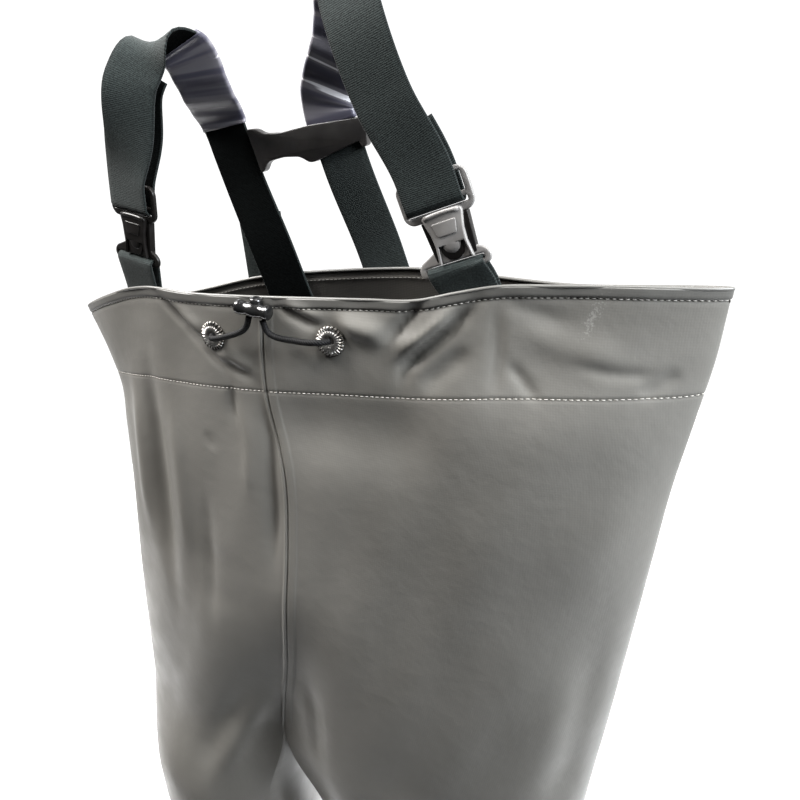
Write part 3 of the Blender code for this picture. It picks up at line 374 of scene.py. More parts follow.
# Folds: soft troughs and ridges on the front and the back of the cloth, by their way in x and z
Fold = namedtuple("Fold", "face depth width way")
FRONT_FOLDS = (
    (-0.0056, 0.0038, ((-0.167, 1.358), (-0.145, 1.343), (-0.114, 1.321), (-0.091, 1.302), (-0.081, 1.289))),
    (0.0030, 0.0075, ((-0.150, 1.353), (-0.118, 1.332), (-0.092, 1.313), (-0.078, 1.299))),
    (-0.0034, 0.0040, ((-0.083, 1.288), (-0.084, 1.268), (-0.085, 1.250))),
    (0.0024, 0.0050, ((-0.087, 1.319), (-0.076, 1.313), (-0.057, 1.306))),
    (-0.0024, 0.0045, ((-0.093, 1.311), (-0.076, 1.301), (-0.057, 1.298))),
    (-0.0046, 0.0038, ((-0.028, 1.365), (-0.012, 1.359), (0.010, 1.352))),
    (0.0022, 0.0045, ((-0.024, 1.371), (-0.006, 1.366), (0.013, 1.360))),
    (-0.0046, 0.0300, ((-0.070, 1.254), (-0.020, 1.262), (0.050, 1.270), (0.090, 1.276), (0.130, 1.282))),
    (0.0062, 0.0450, ((0.070, 1.280), (0.160, 1.292), (0.230, 1.300), (0.310, 1.310))),
    (0.0060, 0.0800, ((0.080, 1.190), (0.160, 1.195), (0.230, 1.198), (0.310, 1.200))),
    (0.0064, 0.0100, ((0.018, 1.360), (0.045, 1.357), (0.070, 1.354))),
    (-0.0056, 0.0042, ((0.096, 1.388), (0.080, 1.367), (0.064, 1.345))),
    (-0.0076, 0.0048, ((0.136, 1.391), (0.114, 1.365), (0.095, 1.346), (0.082, 1.331), (0.078, 1.309))),
    (0.0052, 0.0060, ((0.124, 1.385), (0.099, 1.360), (0.074, 1.339))),
    (-0.0034, 0.0070, ((0.135, 1.356), (0.109, 1.329), (0.097, 1.311))),
    (-0.0022, 0.0042, ((0.149, 1.396), (0.153, 1.350), (0.153, 1.314))),
    (-0.0022, 0.0040, ((0.160, 1.348), (0.174, 1.332), (0.186, 1.317))),
    (-0.0012, 0.0070, ((0.146, 1.396), (0.170, 1.387), (0.208, 1.376))),
    (0.0020, 0.0120, ((0.160, 1.372), (0.200, 1.362), (0.250, 1.352))),
    (-0.0014, 0.0048, ((0.206, 1.349), (0.236, 1.344), (0.268, 1.344))),
    (-0.0018, 0.0060, ((0.252, 1.326), (0.282, 1.349))),
    (-0.0068, 0.0125, ((-0.188, 1.300), (-0.196, 1.235), (-0.196, 1.130), (-0.188, 1.010))),
    (0.0034, 0.0120, ((-0.160, 1.272), (-0.160, 1.180), (-0.160, 1.060))),
    (0.0034, 0.0100, ((-0.226, 1.270), (-0.226, 1.180), (-0.226, 1.070))),
    (0.0022, 0.0060, ((-0.072, 1.283), (-0.066, 1.236), (-0.070, 1.170))),
    (-0.0050, 0.0075, ((-0.052, 1.290), (-0.043, 1.240), (-0.042, 1.170), (-0.046, 1.100))),
    (-0.0020, 0.0090, ((-0.124, 1.180), (-0.128, 1.080), (-0.132, 0.990))),
    (-0.0018, 0.0036, ((-0.121, 1.227), (-0.106, 1.224))),
    (0.0046, 0.0130, ((-0.072, 0.940), (-0.092, 0.895), (-0.115, 0.850), (-0.155, 0.765))),
    (-0.0030, 0.0130, ((-0.105, 0.930), (-0.125, 0.880), (-0.150, 0.830), (-0.185, 0.765))),
    (-0.0034, 0.0110, ((-0.020, 0.975), (-0.014, 0.915), (-0.020, 0.840))),
    (-0.0040, 0.0160, ((0.255, 1.120), (0.244, 0.940), (0.230, 0.860))),
    (-0.0020, 0.0300, ((-0.120, 1.120), (-0.110, 1.020))),
    (-0.0034, 0.0150, ((-0.260, 0.585), (-0.180, 0.520), (-0.100, 0.545))),
    (-0.0034, 0.0150, ((0.040, 0.575), (0.110, 0.530), (0.215, 0.570))),
    (-0.0045, 0.0090, ((-0.195, 0.380), (-0.150, 0.352), (-0.105, 0.366))),
    (-0.0045, 0.0090, ((0.085, 0.364), (0.130, 0.350), (0.185, 0.384))),
    (-0.0035, 0.0075, ((-0.185, 0.322), (-0.140, 0.334), (-0.095, 0.318))),
    (-0.0035, 0.0075, ((0.095, 0.320), (0.140, 0.334), (0.185, 0.322))),
)
BACK_FOLDS = (
    (-0.0060, 0.0180, ((-0.180, 1.240), (-0.150, 1.120), (-0.160, 1.000))),
    (-0.0050, 0.0160, ((0.130, 1.260), (0.100, 1.140), (0.120, 1.010))),
    (0.0040, 0.0200, ((-0.080, 1.240), (-0.060, 1.100))),
    (-0.0040, 0.0120, ((0.210, 1.300), (0.190, 1.180))),
    (-0.0070, 0.0180, ((-0.020, 0.960), (0.050, 0.850), (0.090, 0.780))),
    (-0.0070, 0.0180, ((-0.110, 0.960), (-0.170, 0.860), (-0.200, 0.790))),
    (-0.0055, 0.0150, ((-0.240, 0.560), (-0.180, 0.590), (-0.120, 0.560))),
    (-0.0055, 0.0150, ((0.050, 0.570), (0.120, 0.600), (0.190, 0.570))),
    (-0.0045, 0.0100, ((-0.195, 0.370), (-0.145, 0.390), (-0.100, 0.372))),
    (-0.0045, 0.0100, ((0.090, 0.372), (0.140, 0.390), (0.185, 0.368))),
)
FOLDS = [Fold("front", *row) for row in FRONT_FOLDS] + [Fold("back", *row) for row in BACK_FOLDS]
FOLD_END = 0.12           # share of its depth that a fold keeps at its ends
FOLD_TAPER = 0.34         # share of its length over which it comes to that
SLACK = 0.0007            # slight unevenness of all the cloth
LOOP_REACH = 0.046        # below the rim, down to where the loops behind the cloth end
LOOP_CLEAR = 0.0042       # most that a fold may come in there
LOOP_MARGIN = 0.012
FREE_FOLD = 0.02          # more than any fold comes in, away from the loops
FLAT_SPOTS = (            # places where sewn or riveted pieces hold the cloth flat: x, z, reach, face
    (*EYELETS["left"], 0.014, "front"), (*EYELETS["right"], 0.014, "front"),
    (0.022, 1.350, 0.045, "back"), (-0.098, 1.335, 0.050, "back"),
)


def curve_value(places, values, at):
    """Values read from a smooth curve through a table, for one place or an array of them."""
    places = np.asarray(places, dtype=float)
    values = np.asarray(values, dtype=float)
    slopes = np.gradient(values, places)
    at = np.clip(at, places[0], places[-1])
    k = np.clip(np.searchsorted(places, at) - 1, 0, len(places) - 2)
    span = places[k + 1] - places[k]
    t = (at - places[k]) / span
    rise = (1 + 2 * t) * (1 - t) ** 2 * values[k] + t * t * (3 - 2 * t) * values[k + 1]
    return rise + span * t * (1 - t) * ((1 - t) * slopes[k] - t * slopes[k + 1])


def sections(rows, heights):
    """A table's sections at the given heights, each column an array."""
    ordered = sorted(rows, key=lambda row: row.height)
    places = [row.height for row in ordered]
    return type(rows[0])(*[curve_value(places, column, heights) for column in zip(*ordered)])


def ease(share):
    """A share from 0 to 1 with soft ends."""
    share = np.clip(share, 0.0, 1.0)
    return share * share * (3 - 2 * share)


def bell(away, width):
    """A soft bump: 1 in the middle, and near 0 at twice the width."""
    return np.exp(-(away / width) ** 2)


def rim_height(x):
    """Height of the plain rim at places across the bib."""
    return BIB[0].height + BIB[0].tilt * x


# Materials
def principled(name, colour, roughness, metallic=0.0):
    """A new material with its node tree and its shader."""
    made = bpy.data.materials.new(name)
    made.use_nodes = True
    shader = made.node_tree.nodes["Principled BSDF"]
    shader.inputs["Base Color"].default_value = (*colour, 1.0)
    shader.inputs["Roughness"].default_value = roughness
    shader.inputs["Metallic"].default_value = metallic
    return made, made.node_tree, shader


def add_node(tree, kind, links=None, **settings):
    """A node with its settings, and links from other sockets into its inputs."""
    node = tree.nodes.new(kind)
    for key, value in settings.items():
        setattr(node, key, value)
    for key, value in (links or {}).items():
        if isinstance(value, bpy.types.NodeSocket):
            tree.links.new(value, node.inputs[key])
        else:
            node.inputs[key].default_value = value
    return node


def coordinates(tree, kind, scale=(1.0, 1.0, 1.0)):
    """Texture coordinates of a kind, scaled along each axis."""
    source = add_node(tree, "ShaderNodeTexCoord").outputs[kind]
    return add_node(tree, "ShaderNodeMapping", {"Vector": source, "Scale": scale}).outputs[0]


def noise(tree, vector, scale, detail=3.0):
    """Soft noise at a scale."""
    links = {"Vector": vector, "Scale": scale, "Detail": detail}
    return add_node(tree, "ShaderNodeTexNoise", links).outputs[0]


def bands(tree, vector, period, direction):
    """Even bands of a period in metres along one direction."""
    links = {"Vector": vector, "Scale": math.pi / 10 / period, "Distortion": 0.0}
    return add_node(tree, "ShaderNodeTexWave", links, bands_direction=direction).outputs[1]


def math_node(tree, operation, *values):
    """One value made from others by an operation."""
    return add_node(tree, "ShaderNodeMath", dict(enumerate(values)), operation=operation).outputs[0]


def axes_of(tree, vector):
    """The x, y and z of a vector."""
    return add_node(tree, "ShaderNodeSeparateXYZ", {0: vector}).outputs


def ramp(tree, factor, *stops):
    """Colours along a factor, from pairs of place and colour; a single number is a neutral tone."""
    node = add_node(tree, "ShaderNodeValToRGB", {"Fac": factor})
    elements = node.color_ramp.elements
    while len(elements) < len(stops):
        elements.new(0.5)
    for element, (place, colour) in zip(elements, stops):
        element.position = place
        element.color = (*colour, 1.0) if isinstance(colour, tuple) else (colour, colour, colour, 1.0)
    return node.outputs[0]


def tint(tree, shader, socket, factor, *stops):
    """Drive a shader's socket by colours along a factor."""
    tree.links.new(ramp(tree, factor, *stops), shader.inputs[socket])


def mix(tree, factor, first, second):
    """A colour moved towards a plain one by a factor."""
    links = {0: factor, 6: first, 7: (*second, 1.0)}
    return add_node(tree, "ShaderNodeMix", links, data_type="RGBA").outputs[2]


def bump(tree, shader, height, strength, distance):
    """Relief on a shader from a height."""
    node = add_node(tree, "ShaderNodeBump", {"Height": height, "Strength": strength, "Distance": distance})
    tree.links.new(node.outputs[0], shader.inputs["Normal"])


def uneven_gloss(tree, shader, factor, roughness):
    """Roughness that varies a little about a value."""
    tint(tree, shader, "Roughness", factor, (0.3, roughness - 0.08), (0.7, roughness + 0.08))


def cloth_material():
    """Coated cloth: taupe with soft uneven tone, a fine weave under a half-gloss coat, and a chalky scuff."""
    made, tree, shader = principled("coated_cloth", (0.19, 0.18, 0.158), 0.44)
    place = coordinates(tree, "Object")
    streaks = noise(tree, coordinates(tree, "Object", (1.0, 1.0, 0.22)), 13.0)
    tone = math_node(tree, "MULTIPLY_ADD", streaks, 0.6, noise(tree, place, 5.0))
    colour = ramp(tree, tone, (0.45, (0.100, 0.096, 0.086)), (0.85, (0.146, 0.141, 0.129)))
    uv = coordinates(tree, "UV")
    weave = math_node(tree, "ADD", *[bands(tree, uv, WEAVE_PITCH, axis) for axis in "XY"])
    colour = mix(tree, math_node(tree, "MULTIPLY", weave, 0.009), colour, (0.30, 0.29, 0.27))
    drop = axes_of(tree, add_node(tree, "ShaderNodeUVMap", uv_map="Sewing").outputs[0])[0]
    hem = math_node(tree, "MULTIPLY", math_node(tree, "LESS_THAN", drop, RIM_STITCH), 0.52)
    colour = mix(tree, hem, colour, (0.062, 0.062, 0.060))
    # dark line along each row of stitches: partly painted shade where the cloth is drawn in, partly dirt
    # along the thread
    for row in (RIM_STITCH, CASING_STITCH):
        away = math_node(tree, "ABSOLUTE", math_node(tree, "SUBTRACT", drop, row))
        line = ramp(tree, math_node(tree, "MULTIPLY", away, 0.5 / STITCH_SHADE), (0.0, 0.55), (0.5, 0.0))
        colour = mix(tree, line, colour, (0.055, 0.051, 0.045))
    links = {"Vector": add_node(tree, "ShaderNodeTexCoord").outputs["Object"],
             "Location": SCUFF_PLACE, "Rotation": (0.0, SCUFF_TURN, 0.0), "Scale": SCUFF_REACH}
    scuff = add_node(tree, "ShaderNodeMapping", links, vector_type="TEXTURE").outputs[0]
    reach = add_node(tree, "ShaderNodeVectorMath", {0: scuff}, operation="LENGTH").outputs["Value"]
    fade = math_node(tree, "MULTIPLY", reach, 0.20)
    chalk = math_node(tree, "SUBTRACT", noise(tree, place, 620.0, 4.0), fade)
    colour = mix(tree, ramp(tree, chalk, (0.40, 0.0), (0.50, 0.15)), colour, (0.62, 0.61, 0.58))
    tree.links.new(colour, shader.inputs["Base Color"])
    tint(tree, shader, "Roughness", noise(tree, place, 30.0), (0.3, 0.36), (0.7, 0.50))
    shader.inputs["Specular IOR Level"].default_value = 0.45
    shader.inputs["Coat Weight"].default_value = 0.10
    shader.inputs["Coat Roughness"].default_value = 0.34
    relief = math_node(tree, "MULTIPLY_ADD", weave, 0.028, noise(tree, place, 70.0, 4.0))
    bump(tree, shader, relief, 0.35, 0.0012)
    return made


def backing_material():
    """Uncoated inner face of the cloth: a brown-grey weave, set far darker than its own colour as painted
    shade inside the bib.
    """
    made, tree, shader = principled("cloth_backing", (0.012, 0.011, 0.009), 0.85)
    uv = coordinates(tree, "UV")
    weave = math_node(tree, "MULTIPLY", *[bands(tree, uv, BACKING_PITCH, axis) for axis in "XY"])
    tone = math_node(tree, "MULTIPLY_ADD", weave, 0.3, noise(tree, coordinates(tree, "Object"), 16.0))
    # painted shade: both tones are several times darker than the backing cloth itself
    tint(tree, shader, "Base Color", tone, (0.3, (0.0130, 0.0112, 0.0090)), (0.9, (0.0300, 0.0265, 0.0215)))
    bump(tree, shader, weave, 0.4, 0.0004)
    return made


def fibre_material(name, colour, dark, light, roughness, speckle, relief):
    """Fine specks of a scale and detail, which are the relief too."""
    made, tree, shader = principled(name, colour, roughness)
    speck = noise(tree, coordinates(tree, "Object"), *speckle)
    tint(tree, shader, "Base Color", speck, (0.3, dark), (0.7, light))
    bump(tree, shader, speck, *relief)
    return made


def thread_material(name, dark, light):
    """Sewing thread."""
    return fibre_material(name, light, dark, light, 0.75, (900.0, 3.0), (0.3, 0.0003))


def felt_material():
    """Grey felt of the insoles."""
    dark, light = (0.09, 0.085, 0.078), (0.18, 0.175, 0.160)
    return fibre_material("felt", (0.13, 0.125, 0.115), dark, light, 0.95, (500.0, 5.0), (0.6, 0.001))


def webbing_material(name, dark, light, sheen):
    """Knitted elastic: green-black, with fine ribs across and a dashed selvage along each edge."""
    made, tree, shader = principled(name, light, 0.88)
    uv = coordinates(tree, "UV")
    ribs = bands(tree, uv, RIB_PITCH, "Y")
    speck = noise(tree, coordinates(tree, "Object"), 750.0, 2.0)
    aside = math_node(tree, "ABSOLUTE", axes_of(tree, uv)[0])
    edge = math_node(tree, "GREATER_THAN", aside, BAND_WIDTH / 2 - SELVAGE)
    dash = math_node(tree, "MULTIPLY", edge, math_node(tree, "GREATER_THAN", ribs, 0.45))
    colour = mix(tree, dash, ramp(tree, speck, (0.30, dark), (0.72, light)), (0.003, 0.004, 0.004))
    tree.links.new(colour, shader.inputs["Base Color"])
    shader.inputs["Specular IOR Level"].default_value = 1.8 * sheen
    shader.inputs["Sheen Weight"].default_value = sheen
    shader.inputs["Sheen Roughness"].default_value = 0.5
    bump(tree, shader, math_node(tree, "MULTIPLY_ADD", ribs, 0.45, speck), 0.45, 0.0006)
    return made


def film_material():
    """Clear film sleeve: violet over the dark webbing, with lighter bands across it and bright narrow streaks
    that are painted highlights of its crinkles.
    """
    made, tree, shader = principled("film", (0.16, 0.15, 0.21), 0.30)
    crinkles_and_glints = noise(tree, coordinates(tree, "UV", (5.0, 74.0, 1.0)), 1.0, 2.0)
    # painted highlights: the last stop paints white streaks where the crinkles would catch the light
    tint(tree, shader, "Base Color", crinkles_and_glints, (0.34, (0.062, 0.060, 0.086)), (0.48, (0.100, 0.096, 0.126)),
         (0.55, (0.200, 0.192, 0.215)), (0.615, (0.210, 0.200, 0.225)), (0.630, (0.88, 0.87, 0.90)))
    shader.inputs["Alpha"].default_value = 0.86
    bump(tree, shader, crinkles_and_glints, 0.25, 0.002)
    return made


def plastic_material(name, dark, light, roughness, specular=0.5):
    """Moulded plastic with a fine grain and a little uneven gloss."""
    made, tree, shader = principled(name, light, roughness)
    place = coordinates(tree, "Object")
    tint(tree, shader, "Base Color", noise(tree, place, 60.0), (0.3, dark), (0.7, light))
    uneven_gloss(tree, shader, noise(tree, place, 140.0), roughness)
    shader.inputs["Specular IOR Level"].default_value = specular
    bump(tree, shader, noise(tree, place, 1400.0, 1.0), 0.12, 0.0003)
    return made


def rubber_material(name, dark, light, roughness, grain):
    """Moulded rubber or soft plastic with a dusty tone and a fine grain."""
    made, tree, shader = principled(name, light, roughness)
    place = coordinates(tree, "Object")
    dust = math_node(tree, "MULTIPLY_ADD", noise(tree, place, 45.0, 5.0), 0.4, noise(tree, place, 9.0))
    tint(tree, shader, "Base Color", dust, (0.45, dark), (0.85, light))
    uneven_gloss(tree, shader, noise(tree, place, 22.0), roughness)
    bump(tree, shader, noise(tree, place, grain, 2.0), 0.22, 0.0005)
    return made


def metal_material():
    """Plated metal, dulled in patches, with dark gaps between the teeth at its edge."""
    made, tree, shader = principled("plated_metal", (0.72, 0.70, 0.67), 0.28, 1.0)
    place = coordinates(tree, "Object")
    plated = ramp(tree, noise(tree, place, 240.0), (0.3, (0.26, 0.25, 0.24)), (0.65, (0.42, 0.41, 0.39)))
    uv = coordinates(tree, "UV")
    gaps = math_node(tree, "LESS_THAN", bands(tree, uv, 2 * math.pi / EYELET_TEETH, "X"), 0.42)
    edge = math_node(tree, "GREATER_THAN", axes_of(tree, uv)[1], EYELET_OUTER - TOOTH_GAP)
    colour = mix(tree, math_node(tree, "MULTIPLY", gaps, edge), plated, (0.055, 0.050, 0.045))
    tree.links.new(colour, shader.inputs["Base Color"])
    tint(tree, shader, "Roughness", noise(tree, place, 420.0), (0.3, 0.34), (0.8, 0.52))
    return made


def cord_material():
    """Braided black cord, from slanted strands."""
    made, tree, shader = principled("braid", (0.010, 0.010, 0.011), 0.62)
    strands = bands(tree, coordinates(tree, "UV"), STRAND_PITCH, "DIAGONAL")
    tint(tree, shader, "Base Color", strands, (0.2, 0.002), (0.9, (0.007, 0.007, 0.008)))
    shader.inputs["Specular IOR Level"].default_value = 0.15
    bump(tree, shader, strands, 0.6, 0.0004)
    return made


# Meshes
def unit(vectors):
    """Vectors brought to a length of one."""
    return vectors / np.linalg.norm(vectors, axis=-1, keepdims=True)


def square_to(vectors, ahead):
    """Unit vectors turned square to the directions ahead."""
    return unit(vectors - ahead * np.sum(vectors * ahead, axis=1, keepdims=True))


def travelled(path):
    """Length along a path up to each of its points."""
    return np.concatenate([[0.0], np.cumsum(np.linalg.norm(np.diff(path, axis=0), axis=1))])


def grid_faces(rows, columns, closed):
    """Quads of a grid whose points are listed row by row."""
    row = np.arange(rows - 1)[:, None] * columns
    column = np.arange(columns if closed else columns - 1)[None, :]
    first = row + column
    second = row + (column + 1) % columns
    return np.stack([first, second, second + columns, first + columns], axis=-1).reshape(-1, 4)


def joined_ends(rows, columns):
    """Quads from the last row of a closed grid back to its first."""
    last = (rows - 1) * columns
    return [[last + k, last + (k + 1) % columns, (k + 1) % columns, k] for k in range(columns)]


def add_object(name, data):
    """A new object in the scene."""
    made = bpy.data.objects.new(name, data)
    bpy.context.scene.collection.objects.link(made)
    return made


@contextmanager
def editing(mesh):
    """A mesh opened for edits, and written back after them."""
    bm = bmesh.new()
    bm.from_mesh(mesh)
    yield bm
    bm.to_mesh(mesh)
    bm.free()


def finished_mesh(piece):
    """A copy of a piece's mesh as its modifiers or its bevel leave it."""
    bpy.context.view_layer.update()
    return bpy.data.meshes.new_from_object(piece.evaluated_get(bpy.context.evaluated_depsgraph_get()))


def carve(piece, tool):
    """Cut a tool's form out of a piece, and remove the tool."""
    piece.modifiers.new("cut", "BOOLEAN").object = tool
    piece.data = finished_mesh(piece)
    piece.modifiers.clear()
    bpy.data.objects.remove(tool, do_unlink=True)


def add_map(mesh, name, values):
    """A texture map with one pair of values for each point."""
    corners = np.empty(len(mesh.loops), dtype=np.int32)
    mesh.loops.foreach_get("vertex_index", corners)
    values = np.asarray(values)[corners].astype(np.float32).ravel()
    mesh.uv_layers.new(name=name).data.foreach_set("uv", values)


def make_piece(name, points, faces, finish, uv=None, outward=False):
    """A smooth mesh object from points and faces, with texture coordinates by point."""
    mesh = bpy.data.meshes.new(name)
    mesh.from_pydata(np.asarray(points).tolist(), [], [list(map(int, face)) for face in faces])
    if uv is not None:
        add_map(mesh, "UVMap", uv)
    if outward:
        with editing(mesh) as bm:
            bmesh.ops.recalc_face_normals(bm, faces=bm.faces)
    mesh.shade_smooth()
    mesh.materials.append(finish)
    return add_object(name, mesh)


def add_wall(piece, thickness):
    """Give a piece's surface a wall on its inner side."""
    wall = piece.modifiers.new("wall", "SOLIDIFY")
    wall.thickness = thickness
    wall.offset = -1.0
    return wall


def settle(piece, slot, *nodes):
    """Let a piece ride on the object and stand for its solids. The slot is not used."""
    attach(piece, "root")
    if nodes:
        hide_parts(*nodes)
    return piece


def sweep(name, path, across, up, profile, finish, wrap=False):
    """A profile of (across, up) points carried along a path, closed at its ends unless it wraps round."""
    path, across, up, profile = (np.asarray(data, dtype=float) for data in (path, across, up, profile))
    rows, columns = len(path), len(profile)
    points = path[:, None] + across[:, None] * profile[None, :, :1] + up[:, None] * profile[None, :, 1:]
    faces = grid_faces(rows, columns, True).tolist()
    if wrap:
        faces += joined_ends(rows, columns)
    else:
        faces += [list(range(columns))[::-1], list(range((rows - 1) * columns, rows * columns))]
    uv = np.stack(np.broadcast_arrays(profile[None, :, 0], travelled(path)[:, None]), axis=-1).reshape(-1, 2)
    return make_piece(name, points.reshape(-1, 3), faces, finish, uv, outward=True)


def lathe(name, profile, steps, finish, wave=None):
    """A piece turned about Z from (radius, height) points; one with a wave by turn is closed to a ring."""
    turns = np.arange(steps) * 2 * math.pi / steps
    rings = []
    for radius, height in profile:
        r, z = wave(radius, height, turns) if wave else (radius, height)
        rings.append(np.stack([r * np.cos(turns), r * np.sin(turns), z + 0 * turns], axis=-1))
    faces = grid_faces(len(profile), steps, True).tolist()
    if wave:
        faces += joined_ends(len(profile), steps)
    radii = np.repeat([radius for radius, _ in profile], steps)
    uv = np.stack([np.tile(turns, len(profile)), radii], axis=-1)
    return make_piece(name, np.concatenate(rings), faces, finish, uv, outward=True)


def rounded_strip(width, thickness, steps=8):
    """Outline of a flat band with soft edges, as (across, up) points."""
    half, edge = width / 2 - thickness / 2, thickness / 2
    top = [(x, edge) for x in np.linspace(-half, half, steps + 1)]
    turns = np.linspace(1.05, -1.05, 4)
    right = [(half + edge * math.cos(turn), edge * math.sin(turn)) for turn in turns]
    return top + right + [(-x, -up) for x, up in top + right]


def circle(radius, steps):
    """Points of a round profile."""
    turns = np.arange(steps) * 2 * math.pi / steps
    return np.stack([radius * np.cos(turns), radius * np.sin(turns)], axis=-1)


# Cloth body
def bib_points(height, turn):
    """Points of the bib: turn 0 is the front seam, a quarter turn the left corner."""
    row = sections(BIB, height)
    across, ahead = np.sin(turn), np.cos(turn)
    front = ahead > 0
    sign = np.where(front, 1.0, -1.0)
    x = row.seam + np.where(across > 0, row.left - row.seam, row.seam - row.right) * across
    y = row.side - sign * np.where(front, row.front, row.back) * np.abs(ahead) ** row.point
    hanging = CLEFT_FRONT * ease((CLEFT_TOP - height) / (CLEFT_TOP - CROTCH_HEIGHT))
    cleft = np.where(front, hanging, row.cleft)
    y = y + sign * cleft * bell(x - row.seam, CLEFT_WIDTH)
    aside = np.abs(x) / ((row.left - row.right) / 2)
    droop = row.droop * (1 + LEFT_DROOP - (1 - LEFT_DROOP) * across) / 2
    sag = np.where(front, droop * aside ** 3, droop * (0.2 + 0.8 * aside ** 1.3))
    places, front_lift, back_lift = zip(*RIM)
    lift = np.where(front, curve_value(places, front_lift, x), curve_value(places, back_lift, x))
    z = row.height + row.tilt * x - sag + lift * (row.droop / BIB[0].droop) ** 2
    return np.stack(np.broadcast_arrays(x, y, z), axis=-1)


def bib_wall(x, z, front):
    """Outside of the bib's cloth at a place seen from the front, with its outward direction."""
    height = z
    for _ in range(4):
        row = sections(BIB, height)
        reach = row.left - row.seam if x > row.seam else row.seam - row.right
        turn = math.asin((x - row.seam) / reach)
        turn = turn if front else math.pi - turn
        here = Vector(bib_points(height, turn))
        height = height + z - here.z
    aside, lower = 0.02, 0.01
    along = Vector(bib_points(row.height, turn + aside)) - Vector(bib_points(row.height, turn - aside))
    down = Vector(bib_points(row.height - lower, turn)) - here
    return here, along.cross(-down).normalized()


def leg_rows(name):
    """A leg's table, ended by the rings that slip over the boot shaft."""
    rows = list(LEGS[name])
    over = CLOTH + LEG_SLIP
    for height in (LEG_CUFF, LEG_END):
        shaft = sections(BOOT, height)
        middle = SIDES[name] * BOOT_X
        forward, half_depth = (shaft.heel + shaft.toe) / 2, (shaft.heel - shaft.toe) / 2 + over
        rows.append(LegSection(height, middle, forward, shaft.waist_half + over, half_depth))
    return rows


def half_turns(side):
    """Turns from the front seam to the back seam: close beside the lap, then wider, widest at the back."""
    fine = np.concatenate([np.arange(*ON_LAP), np.arange(*BESIDE_LAP)])
    near = np.arcsin(fine / SEAM_REACH[side])
    middle = np.arange(near[-1] + 0.014, math.pi / 2, FRONT_TURN)
    back = np.linspace(math.pi / 2, math.pi, BACK_COLUMNS)
    return np.concatenate([near, middle, back])


def bib_heights():
    """Heights of the bib's rows: close at the hem and at the casing's stitch row, even elsewhere."""
    top = BIB[0].height
    casing = np.arange(*CASING_ROWS)
    row = CASING_STITCH + np.array(STITCH_ROWS)
    rest = np.linspace(BELOW_CASING, top - CROTCH_HEIGHT, BIB_ROWS)
    return top - np.concatenate([HEM_ROWS, casing, row, rest])


def body_half(name, side):
    """One half of the bib with its leg: points, faces, drop below the rim, and way round from the seam."""
    turns = half_turns(side)
    heights = bib_heights()
    bib = bib_points(heights[:, None], side * turns[None, :])
    columns = len(turns)
    faces = grid_faces(len(heights), columns, False)
    front, back = bib[-1, 0], bib[-1, -1]
    share = np.linspace(0.0, 1.0, CROTCH_COLUMNS)[1:-1, None]
    between = back + (front - back) * share
    between[:, 2] -= CROTCH_DIP * np.sin(math.pi * share[:, 0])
    start = np.concatenate([bib[-1], between])
    ring_turns = CROTCH_ARC + (2 * math.pi - 2 * CROTCH_ARC) * turns / math.pi
    ring_turns = np.concatenate([ring_turns, 2 * math.pi - CROTCH_ARC + 2 * CROTCH_ARC * share[:, 0]])
    levels = np.linspace(CROTCH_HEIGHT, LEG_END, LEG_ROWS)[:, None]
    row = sections(leg_rows(name), levels)
    oval = np.stack(np.broadcast_arrays(
        row.middle - side * row.half_width * np.cos(ring_turns),
        row.forward - row.half_depth * np.sin(ring_turns), levels), axis=-1)
    blend = ease((CROTCH_HEIGHT - levels) / LEG_BLEND)[..., None]
    drop = np.stack([0 * levels, 0 * levels, levels - CROTCH_HEIGHT], axis=-1)
    leg = (start[None] + drop) * (1 - blend) + oval * blend
    points = np.concatenate([bib.reshape(-1, 3), leg.reshape(-1, 3)])
    faces = np.concatenate([faces, grid_faces(len(levels), len(start), True) + bib[..., 0].size])
    level = np.concatenate([np.repeat(heights, columns), np.repeat(levels[:, 0], len(start))])
    steps = np.linalg.norm(np.diff(bib, axis=1), axis=2)
    girth = np.concatenate([np.zeros((len(heights), 1)), np.cumsum(steps, axis=1)], axis=1)
    tail = np.linspace(girth[-1, -1], girth[-1, -1] + CROTCH_GIRTH, CROTCH_COLUMNS - 1)[1:]
    girth = np.concatenate([girth.ravel(), np.tile(np.concatenate([girth[-1], tail]), len(levels))])
    return points, faces if side > 0 else faces[:, ::-1], BIB[0].height - level, side * girth


def line_distance(places, way):
    """Distance of places to a line of points, and how far along the line the nearest point lies."""
    way = [np.array(point) for point in way]
    steps = [np.linalg.norm(end - start) for start, end in zip(way, way[1:])]
    nearest = np.full(len(places), 9.0)
    along_line = np.zeros(len(places))
    passed = 0.0
    for start, end, step in zip(way, way[1:], steps):
        share = np.clip((places - start) @ (end - start) / step ** 2, 0.0, 1.0)
        away = np.linalg.norm(places - start - share[:, None] * (end - start), axis=1)
        along_line = np.where(away < nearest, (passed + share * step) / sum(steps), along_line)
        nearest = np.minimum(nearest, away)
        passed += step
    return nearest, along_line


def facing(normals, face):
    """How squarely the cloth faces the front or the back, from 0 to 1."""
    toward = -normals[:, 1] if face == "front" else normals[:, 1]
    return ease(toward * 1.6)


